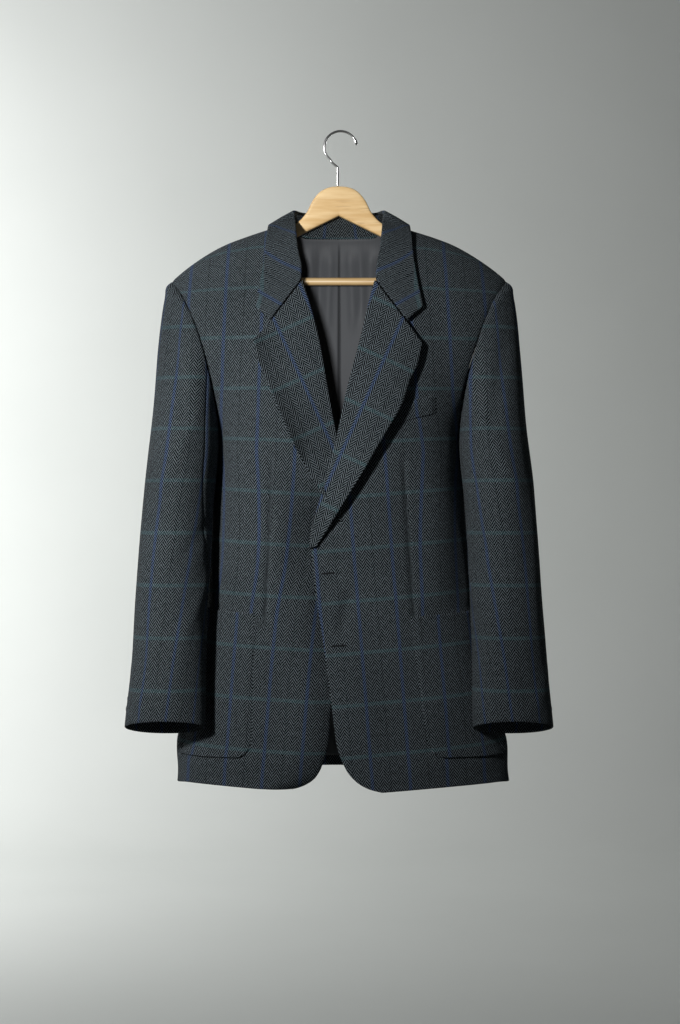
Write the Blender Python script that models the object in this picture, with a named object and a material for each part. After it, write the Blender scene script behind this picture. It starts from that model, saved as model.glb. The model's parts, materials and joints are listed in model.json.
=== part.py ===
"""A wool jacket hanging on a wooden hanger, every cut piece a thin closed wall.

Metres, +Z up. X runs to the wearer's left, Y to the back, so the jacket's front faces -Y.
The origin is the point inside the top of the hook where a rail carries it.
"""
import math

import bmesh
import bpy
import numpy as np

# Cloth and seams.
CLOTH = 0.0020
LAPEL_CLOTH = 0.0024
LINING = 0.0010
SEAM = 0.0003
HALF_SEAM = SEAM / 2
SHARP_DEGREES = 35.0

# Shoulders: the ridge falls from the neck, then rounds off towards the shoulder point.
NECK_HALF = 0.078
SHOULDER_HALF = 0.2405
RIDGE_AT = 0.100
RIDGE_HEIGHT = -0.1401
RIDGE_SLOPE = 0.345
RIDGE_ROUND_FROM = 0.152
RIDGE_ROUND = 3.2

# Body: half a superellipse in front and behind, closing on the ridge above the underarm.
UNDERARM = -0.4414
HEM_SIDE = -0.9240
HEM_SWING = 0.0095
SECTION_POWER = 2.3
YOKE_GROWTH = 0.075
YOKE_REACH = 0.70
BACK_NECK = -0.1440
BACK_NECK_CURVE = 2.2
# height, half width, depth in front, depth behind, shift of the centre to the left
BODY = (
    (-0.4414, 0.1700, 0.108, 0.095, 0.000),
    (-0.5100, 0.1785, 0.105, 0.093, 0.000),
    (-0.6100, 0.1872, 0.100, 0.090, 0.000),
    (-0.7300, 0.1990, 0.092, 0.085, 0.001),
    (-0.8300, 0.2178, 0.086, 0.082, 0.003),
    (-0.9340, 0.2375, 0.082, 0.080, 0.006),
)
FRONT_ARMHOLE_POWER = 1.7
BACK_ARMHOLE_FULLNESS = 0.5

# Overlap of the fronts: the left front is lifted over the right one near the centre.
OVER_LIFT = 0.004
UNDER_SINK = 0.005
LAP_FROM = 0.035
LAP_FADE = 0.090
LAP_RISE = 0.220

# Front edges, from the neck down the roll line to the break, then round the hem corner.
BREAK_RISE = -0.305
GORGE_DEGREES = 43.0
# height, edge of the left front, edge of the right front (both as distance to the wearer's left)
FRONT_EDGES = (
    (-0.1320, 0.0780, -0.0780),
    (-0.1610, 0.0735, -0.0735),
    (-0.1900, 0.0655, -0.0655),
    (-0.2283, 0.0500, -0.0510),
    (-0.3062, 0.0310, -0.0290),
    (-0.3840, 0.0110, -0.0150),
    (-0.4487, -0.0027, -0.0030),
    (-0.5169, -0.0206, 0.0150),
    (-0.5906, -0.0372, 0.0310),
    (-0.6370, -0.0335, 0.0270),
    (-0.7260, -0.0207, 0.0120),
    (-0.8217, -0.0083, -0.0115),
    (-0.8656, -0.0028, -0.0150),
    (-0.9019, 0.0108, -0.0250),
    (-0.9186, 0.0250, -0.0350),
    (-0.9290, 0.0430, -0.0500),
    (-0.9345, 0.0640, -0.0680),
)
# Rows of the panels: share of the way from underarm to hem, then degrees up to the ridge.
LOWER_ROWS = (-1.0, -0.988, -0.965, -0.935, -0.90, -0.865, -0.80, -0.70, -0.60, -0.49, -0.40,
              BREAK_RISE, -0.25, -0.20, -0.15, -0.10, -0.05, 0.0)
UPPER_ROWS = (8.0, 17.0, 26.0, 34.5, GORGE_DEGREES, 52.0, 60.5, 68.5, 76.0, 83.5, 90.0)
FRONT_COLUMNS = (0.0, 0.03, 0.10, 0.19, 0.28, 0.37, 0.46, 0.56, 0.66, 0.76, 0.86, 0.94, 1.0)
BACK_COLUMNS = (0.0, 0.10, 0.20, 0.28, 0.35, 0.48, 0.61, 0.74, 0.87, 1.0)
NECK_COLUMN = 4

# Lapels: distance along the roll line from the break, then the outer edge.
ROLL_RADIUS = 0.00225
CURL_STEPS = 4
LAPEL_STEPS = 7
OVER_LAPEL_LIFT = 0.0085
UNDER_LAPEL_LIFT = 0.0045
LAPEL_BELLY = 0.0015
LAPEL_SETTLE = 0.25
ROLL_FALL = 1.3
# share of the way up from the break, edge to the left and height (left lapel), the same for the right
LAPEL_EDGES = (
    (0.00, -0.0310, -0.5900, 0.0255, -0.5900),
    (0.14, -0.0075, -0.5522, 0.0030, -0.5580),
    (0.27, 0.0110, -0.5209, -0.0180, -0.5240),
    (0.40, 0.0302, -0.4893, -0.0370, -0.4920),
    (0.54, 0.0494, -0.4533, -0.0520, -0.4640),
    (0.66, 0.0659, -0.4238, -0.0647, -0.4360),
    (0.77, 0.0811, -0.3961, -0.0813, -0.3937),
    (0.89, 0.0935, -0.3625, -0.0943, -0.3619),
    (0.96, 0.1060, -0.3370, -0.1060, -0.3335),
    (1.00, 0.1118, -0.3110, -0.1115, -0.3080),
)
NOTCH = (0.0927, -0.2815)
NOTCH_SHARE = 0.66

# Collar: a row for each station from the gorge to the shoulder seam.
COLLAR_ROLL = 0.0024
COLLAR_GAP = 0.0006
GORGE_GAP = 0.0006
STAND_START = 0.35
COLLAR_STEPS = 6
COLLAR_LIFT = 0.0050
COLLAR_BELLY = 0.0030
# fold to the side and its height, outer edge to the side and its height
COLLAR_FRONT = (
    (0.0500, -0.2283, 0.1152, -0.2585),
    (0.0545, -0.2010, 0.1118, -0.2410),
    (0.0588, -0.1800, 0.1072, -0.2175),
    (0.0612, -0.1610, 0.1036, -0.1940),
    (0.0628, -0.1450, 0.1014, -0.1730),
    (0.0640, -0.1290, 0.1000, -0.1540),
    (0.0645, -0.1165, 0.0975, -0.1345),
)
COLLAR_FOLD_BACK = (0.0470, -0.1135)
COLLAR_EDGE_BACK = (0.0640, -0.1600)

# Sleeves: a row for each section below the underarm.
SLEEVE_TOP = -0.4564
CUFF_HEIGHT = -0.8430
CUFF_TILT = 0.0125
SLEEVE_TURN = 65.0
CAP_ROWS = 5
CAP_BULGE = 0.0156
CAP_BULGE_POWER = 1.5
CAP_SHARES = (0.07, 0.40)
ARMHOLE_GAP = 0.0004
ARMHOLE_LEAN = 0.3
ARM_ROWS = 8
FRONT_SLEEVE_SEAM = 135.0
BACK_SLEEVE_SEAM = 270.0
# height, centre to the side, half width, centre to the back, half depth
SLEEVE = (
    (-0.4564, 0.2207, 0.0485, -0.030, 0.075),
    (-0.5100, 0.2255, 0.0490, -0.041, 0.070),
    (-0.6100, 0.2313, 0.0503, -0.056, 0.060),
    (-0.7224, 0.2362, 0.0516, -0.069, 0.052),
    (-0.8400, 0.2422, 0.0558, -0.078, 0.043),
)

# Patch pockets, on the grid of the front panels.
POCKET_FRONT_COLUMN = 5
POCKET_BACK_COLUMN = 11
POCKET_TOP_ROW = 9
POCKET_BOTTOM_ROW = 4
POCKET_CORNER = ((0.0, 0.22), (0.62, 0.36), (0.0, 0.20))

# Chest welt: corners to the left and height, lower pair first.
WELT_CORNERS = ((0.0600, -0.4245), (0.1349, -0.4054), (0.0640, -0.3985), (0.1347, -0.3807))
WELT_STEPS = (9, 4)
WELT_CLOTH = 0.0016
WELT_GAP = 0.0008

# Lining, inside the backs.
LINING_GAP = 0.0004
LINING_BOTTOM_ROW = 2

# Buttons.
FRONT_BUTTON_RADIUS = 0.0100
CUFF_BUTTON_RADIUS = 0.0075
BUTTON_THICKNESS = 0.0032
BUTTON_SIDES = 10
# share of the radius, share of the thickness, from the seat round the rim to the dished face
BUTTON_PROFILE = ((0.70, 0.0), (1.0, 0.40), (0.93, 1.0), (0.68, 0.74))
FRONT_BUTTONS = (("upper", 0.0130, -0.6310), ("lower", 0.0020, -0.7282))
CUFF_BUTTONS = 3
CUFF_BUTTON_FIRST = 0.026
CUFF_BUTTON_PITCH = 0.0170
CUFF_BUTTON_COLUMN = 0.55

# Hanger.
HANGER_HALF = 0.208
HANGER_THICK = 0.013
HANGER_CREST = 0.0015
HANGER_CREST_DROP = 0.0040
HANGER_SEAT = 0.0012
ARM_STATIONS = (0.090, 0.110, 0.132, 0.155, 0.172, 0.1838)
ARM_HEIGHT = 0.023
LUG_FROM = 0.1840
LUG_STATIONS = (0.184, 0.196, 0.204)
LUG_ROUND = 0.006
LUG_BOTTOM = -0.2225
BAR_RADIUS = 0.0055
BAR_HEIGHT = -0.2135
BAR_SIDES = 16
# distance to the side, height of the top, height of the underside
CROWN = (
    (0.000, -0.0776, -0.1203),
    (0.010, -0.0783, -0.1252),
    (0.020, -0.0812, -0.1302),
    (0.029, -0.0872, -0.1346),
    (0.038, -0.0985, -0.1390),
    (0.046, -0.1145, -0.1430),
    (0.056, -0.1265, -0.1479),
    (0.067, -0.1345, -0.1533),
    (0.078, -0.1398, -0.1588),
)
HOOK_WIRE = 0.0017
HOOK_SIDES = 8
HOOK_BOW = 0.0215
HOOK_BOW_CENTRE = 0.0020
HOOK_STEM = -0.0020
HOOK_TIP_DEGREES = 8.0
HOOK_FOOT = -0.0772
HOOK_NECK = -0.0520
HOOK_COLLAR = -0.0672
HOOK_BOW_DEGREES = 232.0
HOOK_BOW_STEPS = 22
HOOK_LEAN = (0.30, 0.60, 0.85)
HOOK_TIP_SWELL = 1.45


def smooth(share):
    """An even ease from 0 to 1."""
    share = np.clip(share, 0.0, 1.0)
    return share * share * (3.0 - 2.0 * share)


def along(rows, key, column):
    """A smooth curve through a table's column, read at a key in its first column."""
    table = np.array(sorted(rows), float)
    places, values = table[:, 0], table[:, column]
    steps = np.diff(places)
    slopes = np.diff(values) / steps
    inner = np.where(slopes[1:] * slopes[:-1] > 0.0,
                     2.0 * slopes[1:] * slopes[:-1] / (slopes[1:] + slopes[:-1] + 1e-12), 0.0)
    tangents = np.concatenate([slopes[:1], inner, slopes[-1:]])
    key = np.clip(key, places[0], places[-1])
    cell = np.clip(np.searchsorted(places, key, side="right") - 1, 0, len(steps) - 1)
    share = (key - places[cell]) / steps[cell]
    rise = share * share * (3.0 - 2.0 * share)
    lead = share * (1.0 - share) ** 2 * steps[cell]
    tail = share * share * (share - 1.0) * steps[cell]
    return (values[cell] * (1.0 - rise) + values[cell + 1] * rise
            + tangents[cell] * lead + tangents[cell + 1] * tail)


def ridge(side):
    """Height of the shoulder seam at a distance to the side."""
    side = np.abs(side)
    rounding = np.maximum(0.0, side - RIDGE_ROUND_FROM)
    return RIDGE_HEIGHT - RIDGE_SLOPE * (side - RIDGE_AT) - RIDGE_ROUND * rounding ** 2


def hollow(sine):
    """Depth of the body's section, as a share, at a share of its half width."""
    return np.maximum(0.0, 1.0 - np.abs(sine) ** SECTION_POWER) ** (1.0 / SECTION_POWER)


def lap(side, height, hand):
    """How far a front is moved out, over its neighbour, or in, under it."""
    near = 1.0 - smooth((hand * side - LAP_FROM) / LAP_FADE)
    high = 1.0 - smooth((height - UNDERARM) / LAP_RISE)
    amount = OVER_LIFT if hand > 0 else -UNDER_SINK
    return amount * near * high


def yoke_half(share):
    """Half width of the body above the underarm, at a share of the way up to the ridge."""
    return BODY[0][1] + YOKE_GROWTH * smooth(share / YOKE_REACH)


def body_point(turn, rise, face):
    """A point of the outer cloth.

    turn is the angle from the centre line to the side; rise runs from -1 at the hem through
    0 at the underarm to 90 degrees on the ridge, as radians; face is -1 in front, 1 behind.
    """
    sine = math.sin(turn)
    depth_column = 2 if face < 0 else 3
    if rise >= 0.0:
        share = math.sin(rise)
        x = yoke_half(share) * sine
        z = UNDERARM + share * (ridge(x) - UNDERARM)
        y = BODY[0][depth_column] * hollow(sine) * math.cos(rise)
    else:
        hem = HEM_SIDE + face * HEM_SWING * math.cos(turn)
        z = UNDERARM + rise * (UNDERARM - hem)
        x = along(BODY, z, 1) * sine + along(BODY, z, 4)
        y = along(BODY, z, depth_column) * hollow(sine)
    return np.array([x, face * y, z])


def form_depth(x, z, face):
    """Depth of the outer cloth at a place to the side and a height."""
    depth_column = 2 if face < 0 else 3
    if z >= UNDERARM:
        share = min(1.0, (z - UNDERARM) / (ridge(x) - UNDERARM))
        return face * BODY[0][depth_column] * hollow(x / yoke_half(share)) * math.sqrt(1.0 - share * share)
    sine = (x - along(BODY, z, 4)) / along(BODY, z, 1)
    return face * along(BODY, z, depth_column) * hollow(min(1.0, abs(sine)))


def front_point(x, z, hand, out=0.0):
    """A point a distance out from the cloth of one front."""
    step = 0.0005

    def depth(a, b):
        return form_depth(a, b, -1) - lap(a, b, hand)

    here = np.array([x, depth(x, z), z])
    across = (depth(x + step, z) - depth(x - step, z)) / (2 * step)
    upward = (depth(x, z + step) - depth(x, z - step)) / (2 * step)
    outward = np.array([across, -1.0, upward])
    return here + out * outward / np.linalg.norm(outward)


def panel_normals(turns, rises, face):
    """Outward directions of a panel's points, from the form on both sides of each point."""
    step = 0.002
    normals = np.zeros(turns.shape + (3,))
    for place in np.ndindex(turns.shape):
        turn, rise = turns[place], rises[place]
        quarter = math.pi / 2
        if rise > quarter - step:
            x = body_point(turn, quarter, face)[0]
            slope = (ridge(x + 1e-4) - ridge(x - 1e-4)) / 2e-4
            normal = np.array([-slope, 0.0, 1.0])
        else:
            if abs(turn) > quarter - step:
                across = np.array([0.0, -face * math.copysign(1.0, turn), 0.0])
            else:
                across = body_point(turn + step, rise, face) - body_point(turn - step, rise, face)
            upward = body_point(turn, rise + step, face) - body_point(turn, rise - step, face)
            normal = np.cross(across, upward) * -face
        normals[place] = normal / np.linalg.norm(normal)
    return normals


def inset(grid, rows, columns, amount):
    """Moves the named edges of a grid of points back from a seam."""
    moved = grid.copy()
    for row, neighbour in rows:
        path = grid[neighbour] - grid[row]
        moved[row] += amount * path / np.linalg.norm(path, axis=1)[:, None]
    for column, neighbour in columns:
        path = grid[:, neighbour] - grid[:, column]
        moved[:, column] += amount * path / np.linalg.norm(path, axis=1)[:, None]
    return moved


def paint(name, colour, roughness, metallic=0.0):
    """A plain material."""
    material = bpy.data.materials.new(name)
    material.use_nodes = True
    shader = material.node_tree.nodes["Principled BSDF"]
    shader.inputs["Base Color"].default_value = (*colour, 1.0)
    shader.inputs["Roughness"].default_value = roughness
    shader.inputs["Metallic"].default_value = metallic
    return material


def put(name, mesh, material):
    """An object at the origin, with its faces turned outwards."""
    work = bmesh.new()
    work.from_mesh(mesh)
    bmesh.ops.recalc_face_normals(work, faces=work.faces)
    work.to_mesh(mesh)
    work.free()
    mesh.materials.append(material)
    mesh.shade_smooth()
    mesh.set_sharp_from_angle(angle=math.radians(SHARP_DEGREES))
    item = bpy.data.objects.new(name, mesh)
    bpy.context.scene.collection.objects.link(item)
    return item


def wall(name, outer, inner, material):
    """A closed wall between two grids of points."""
    rows, columns = outer.shape[:2]
    points = np.concatenate([outer.reshape(-1, 3), inner.reshape(-1, 3)])
    behind = rows * columns

    def index(row, column, layer):
        return layer * behind + row * columns + column

    faces = []
    for row in range(rows - 1):
        for column in range(columns - 1):
            near, far = (row, column), (row + 1, column + 1)
            for third in ((row, column + 1), (row + 1, column)):
                faces.append([index(*corner, 0) for corner in (near, third, far)])
                faces.append([index(*corner, 1) for corner in (far, third, near)])
    rim = [(0, c) for c in range(columns)]
    rim += [(r, columns - 1) for r in range(1, rows)]
    rim += [(rows - 1, c) for c in range(columns - 2, -1, -1)]
    rim += [(r, 0) for r in range(rows - 2, 0, -1)]
    for pair in zip(rim, rim[1:] + rim[:1]):
        here, there = sorted(pair)
        faces.append([index(*here, 0), index(*there, 0), index(*there, 1)])
        faces.append([index(*here, 0), index(*there, 1), index(*here, 1)])
    mesh = bpy.data.meshes.new(name)
    mesh.from_pydata([tuple(p) for p in points], [], faces)
    return put(name, mesh, material)


def tube(name, rings, material):
    """A closed solid through rings of points, with flat ends."""
    count = len(rings[0])
    points = [tuple(p) for ring in rings for p in ring]
    faces = [list(range(count)), [len(points) - 1 - k for k in range(count)]]
    for ring in range(len(rings) - 1):
        for k in range(count):
            here, there = ring * count + k, ring * count + (k + 1) % count
            faces.append([there, here, here + count, there + count])
    mesh = bpy.data.meshes.new(name)
    mesh.from_pydata(points, [], faces)
    return put(name, mesh, material)


# The panels' rows, as the rises that body_point reads.
RISES = [*LOWER_ROWS, *(math.radians(d) for d in UPPER_ROWS)]
UNDERARM_ROW = len(LOWER_ROWS) - 1
BREAK_ROW = LOWER_ROWS.index(BREAK_RISE)
GORGE_ROW = len(LOWER_ROWS) + UPPER_ROWS.index(GORGE_DEGREES)


def armhole_side(rise, face):
    """Distance to the side of the armhole at a rise above the underarm."""
    share = math.sin(rise)
    fullness = BACK_ARMHOLE_FULLNESS * (1.0 - share) if face > 0 else 0.0
    start = BODY[0][1]
    return start + (SHOULDER_HALF - start) * share ** FRONT_ARMHOLE_POWER * (1.0 + fullness)


def outer_turn(rise, face):
    """Angle at which a panel ends: the side seam, or the armhole above the underarm."""
    if rise <= 0.0:
        return math.pi / 2
    return math.asin(min(1.0, armhole_side(rise, face) / yoke_half(math.sin(rise))))


def edge_turn(rise, hand):
    """Angle at which a front begins: its edge, roll line or neckline."""
    column = 1 if hand > 0 else 2
    turn = 0.0
    for _ in range(12):
        point = body_point(turn, rise, -1)
        side = along(FRONT_EDGES, point[2], column)
        if rise >= 0.0:
            turn = math.asin(side / yoke_half(math.sin(rise)))
        else:
            turn = math.asin((side - along(BODY, point[2], 4)) / along(BODY, point[2], 1))
    return turn


def front_panel(hand):
    """Outer points and outward directions of one front."""
    turns = np.zeros((len(RISES), len(FRONT_COLUMNS)))
    rises = np.zeros_like(turns)
    for row, rise in enumerate(RISES):
        start, end = edge_turn(rise, hand), hand * outer_turn(rise, -1)
        turns[row] = start + (end - start) * np.array(FRONT_COLUMNS)
        rises[row] = rise
    points = np.array([[body_point(t, r, -1) for t, r in zip(*pair)] for pair in zip(turns, rises)])
    normals = panel_normals(turns, rises, -1)
    for place in np.ndindex(turns.shape):
        x, _, z = points[place]
        points[place][1] -= lap(x, z, hand)
    return points, normals


def back_top(column_share):
    """Share of the way up at which a back column ends: its neckline dips at the centre."""
    neck = min(1.0, column_share / BACK_COLUMNS[NECK_COLUMN])
    low = (BACK_NECK - UNDERARM) / (ridge(0.0) - UNDERARM)
    return low + (1.0 - low) * neck ** BACK_NECK_CURVE


def back_panel(hand):
    """Outer points and outward directions of one half of the back."""
    shape = (len(RISES), len(BACK_COLUMNS))
    turns, rises = np.zeros(shape), np.zeros(shape)
    neck_turn = math.asin(NECK_HALF / yoke_half(1.0))
    for column, share in enumerate(BACK_COLUMNS):
        top = math.asin(back_top(share))
        for row, rise in enumerate(RISES):
            level = rise if rise <= 0.0 else rise * top / (math.pi / 2)
            end = outer_turn(level, 1)
            even = share * end
            if share <= BACK_COLUMNS[NECK_COLUMN]:
                set_in = neck_turn * share / BACK_COLUMNS[NECK_COLUMN]
            else:
                beyond = (share - BACK_COLUMNS[NECK_COLUMN]) / (1.0 - BACK_COLUMNS[NECK_COLUMN])
                set_in = neck_turn + (end - neck_turn) * beyond
            blend = smooth(max(0.0, rise) / (math.pi / 2))
            turns[row, column] = hand * (even + (set_in - even) * blend)
            rises[row, column] = level
    points = np.array([[body_point(t, r, 1) for t, r in zip(*pair)] for pair in zip(turns, rises)])
    return points, panel_normals(turns, rises, 1)


def panel_walls(points, normals, rows, columns):
    """Outer and inner points of a panel, drawn back from its seams."""
    outer = inset(points, rows, columns, HALF_SEAM)
    inner = inset(points - CLOTH * normals, rows, columns, HALF_SEAM)
    return outer, inner


def on_grid(points, normals, row, column, out):
    """A point out from a panel, at a fraction of its rows and columns."""
    r, c = min(int(row), points.shape[0] - 2), min(int(column), points.shape[1] - 2)
    a, b = row - r, column - c
    weights = ((1 - a) * (1 - b), (1 - a) * b, a * (1 - b), a * b)
    cells = ((r, c), (r, c + 1), (r + 1, c), (r + 1, c + 1))
    return sum(w * (points[cell] + out * normals[cell]) for w, cell in zip(weights, cells))


def turnover(roll, steps, width, start_gap, edge_height, belly, thickness):
    """A rolled-over layer in section: distances across and heights of its two faces.

    It starts at the edge of the layer below, curls round the roll and lies back over it.
    """
    curl = np.radians(np.linspace(0.0, 180.0, CURL_STEPS + 1))
    across = list(-start_gap - roll * np.sin(curl))
    heights = list(roll - roll * np.cos(curl))
    for share in np.linspace(0.0, 1.0, steps + 1)[1:]:
        across.append(share * width)
        fall = (edge_height - 2 * roll) * share ** ROLL_FALL
        heights.append(2 * roll + fall + belly * math.sin(math.pi * share))
    middle = np.array([across, heights]).T
    tangent = np.gradient(middle, axis=0)
    tangent[0] = (-1.0, 0.0)
    normal = np.stack([-tangent[:, 1], tangent[:, 0]], axis=1)
    normal /= np.linalg.norm(normal, axis=1)[:, None]
    return middle + normal * thickness / 2, middle - normal * thickness / 2


def build_lapel(hand, edge_points, material):
    """A lapel that rolls out from its front's roll line and lies on the chest."""
    name = "lapel_left" if hand > 0 else "lapel_right"
    first = 1 if hand > 0 else 3
    lift = OVER_LAPEL_LIFT if hand > 0 else UNDER_LAPEL_LIFT
    rows = range(BREAK_ROW, GORGE_ROW + 1)
    outer, inner = [], []
    for row in rows:
        share = (row - BREAK_ROW) / (GORGE_ROW - BREAK_ROW)
        start = edge_points[row]
        whole = math.dist(edge_points[BREAK_ROW], edge_points[GORGE_ROW])
        path = math.dist(edge_points[BREAK_ROW], start) / whole
        edge = np.array([along(LAPEL_EDGES, path, first), along(LAPEL_EDGES, path, first + 1)])
        roll_point = np.array([start[0], start[2]])
        reach = edge - roll_point
        width = np.linalg.norm(reach)
        direction = reach / width
        height = 2 * ROLL_RADIUS + (lift - 2 * ROLL_RADIUS) * smooth(share / LAPEL_SETTLE)
        belly = LAPEL_BELLY * share
        faces = turnover(ROLL_RADIUS, LAPEL_STEPS, width, SEAM, height + CLOTH / 2, belly, LAPEL_CLOTH)
        for face, grid in zip(faces, (outer, inner)):
            grid.append([front_point(*(roll_point + direction * w), hand, h - CLOTH / 2) for w, h in face])
    return wall(name, np.array(outer), np.array(inner), material)


def gorge_point(points, hand, distance, out):
    """A point of the collar's end, just above the lapel's top edge, at a distance from the roll line."""
    roll = points[GORGE_ROW, 0][[0, 2]]
    peak = np.array(LAPEL_EDGES[-1][1:3] if hand > 0 else LAPEL_EDGES[-1][3:5])
    direction = (peak - roll) / np.linalg.norm(peak - roll)
    above = np.array([-direction[1], direction[0]]) * hand
    return front_point(*(roll + direction * distance + above * GORGE_GAP), hand, out)


def collar_stations(fronts, backs):
    """Neck seam, its inner side, fold and outer edge of the collar, from right gorge to left gorge."""
    stations = []
    for hand in (-1, 1):
        points, normals = fronts[hand]
        side = []
        for place, (fold_x, fold_z, edge_x, edge_z) in enumerate(COLLAR_FRONT):
            row = GORGE_ROW + place
            if place < len(COLLAR_FRONT) - 1:
                fold = front_point(hand * fold_x, fold_z, hand)
                if place == 0:
                    fold = gorge_point(points, hand, 0.0, -CLOTH / 2)
                edge = front_point(hand * edge_x, edge_z, hand, COLLAR_LIFT)
            else:
                fold = np.array([hand * fold_x, 0.0, fold_z])
                edge = np.array([hand * edge_x, 0.0, edge_z])
            side.append((points[row, 0], normals[row, 0], fold, edge))
        points, normals = backs[hand]
        for column in range(NECK_COLUMN - 1, 0, -1):
            seam = points[-1, column]
            angle = math.atan2(seam[1] / points[-1, 0, 1], abs(seam[0]) / NECK_HALF)
            shoulder = COLLAR_FRONT[-1]
            height = shoulder[1] + (COLLAR_FOLD_BACK[1] - shoulder[1]) * math.sin(angle)
            aside, behind = hand * math.cos(angle), math.sin(angle)
            fold = np.array([shoulder[0] * aside, COLLAR_FOLD_BACK[0] * behind, height])
            low = shoulder[3] + (COLLAR_EDGE_BACK[1] - shoulder[3]) * math.sin(angle)
            edge = np.array([shoulder[2] * aside, COLLAR_EDGE_BACK[0] * behind, low])
            side.append((seam, normals[-1, column], fold, edge))
        stations.append(side)
    points, normals = backs[1]
    centre_fold, centre_edge = np.array([0.0, *COLLAR_FOLD_BACK]), np.array([0.0, *COLLAR_EDGE_BACK])
    centre = (points[-1, 0], normals[-1, 0], centre_fold, centre_edge)
    return stations[0] + [centre] + stations[1][::-1]


def build_collar(fronts, backs, stand_material, fall_material):
    """The stand on the neck seam and the fall that folds over it."""
    stations = collar_stations(fronts, backs)
    middles = np.array([(fold + edge) / 2 for _, _, fold, edge in stations])
    lengthways = np.gradient(middles, axis=0)
    stand, fall = [[], []], [[], []]
    last = len(stations) - 1
    for place, (seam, seam_out, fold, edge) in enumerate(stations):
        hand = -1 if place < last / 2 else 1
        reach = edge - fold
        width = np.linalg.norm(reach)
        towards = reach / width
        outward = np.cross(lengthways[place], towards)
        outward /= np.linalg.norm(outward)
        bend = np.zeros(3)
        if place in (0, last):
            notch = gorge_point(fronts[hand][0], hand, math.dist(NOTCH, COLLAR_FRONT[0][:2]), COLLAR_LIFT)
            bend = notch - (fold + reach * NOTCH_SHARE)
        faces = turnover(COLLAR_ROLL, COLLAR_STEPS, width, COLLAR_GAP, COLLAR_ROLL, COLLAR_BELLY, LAPEL_CLOTH)
        for layer, face in enumerate(faces):
            line = []
            for w, h in face:
                share = w / width
                kink = share / NOTCH_SHARE if share < NOTCH_SHARE else (1.0 - share) / (1.0 - NOTCH_SHARE)
                line.append(fold + towards * w + outward * h + bend * kink)
            fall[layer].append(line)
        if place in (0, last):
            neighbour = stations[1 if place == 0 else -2]
            pairs = zip((seam, seam_out, fold), neighbour)
            seam, seam_out, fold = (a + (b - a) * STAND_START for a, b in pairs)
        up = fold - seam
        up /= np.linalg.norm(up)
        across = outward - outward.dot(up) * up
        across /= np.linalg.norm(across)
        for layer, sign in enumerate((0.5, -0.5)):
            foot = seam + SEAM * up - (0.5 - sign) * CLOTH * seam_out
            head = fold + sign * CLOTH * across - COLLAR_GAP * up
            stand[layer].append([foot, (foot + head) / 2, head])
    wall("collar_stand", np.array(stand[0]), np.array(stand[1]), stand_material)
    wall("collar_fall", np.array(fall[0]), np.array(fall[1]), fall_material)


def sleeve_section(angle, height):
    """A point of the left sleeve below the underarm."""
    side, half, back, depth = (along(SLEEVE, height, column) for column in (1, 2, 3, 4))
    return np.array([side + half * math.cos(angle), back - depth * math.sin(angle), height])


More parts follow.
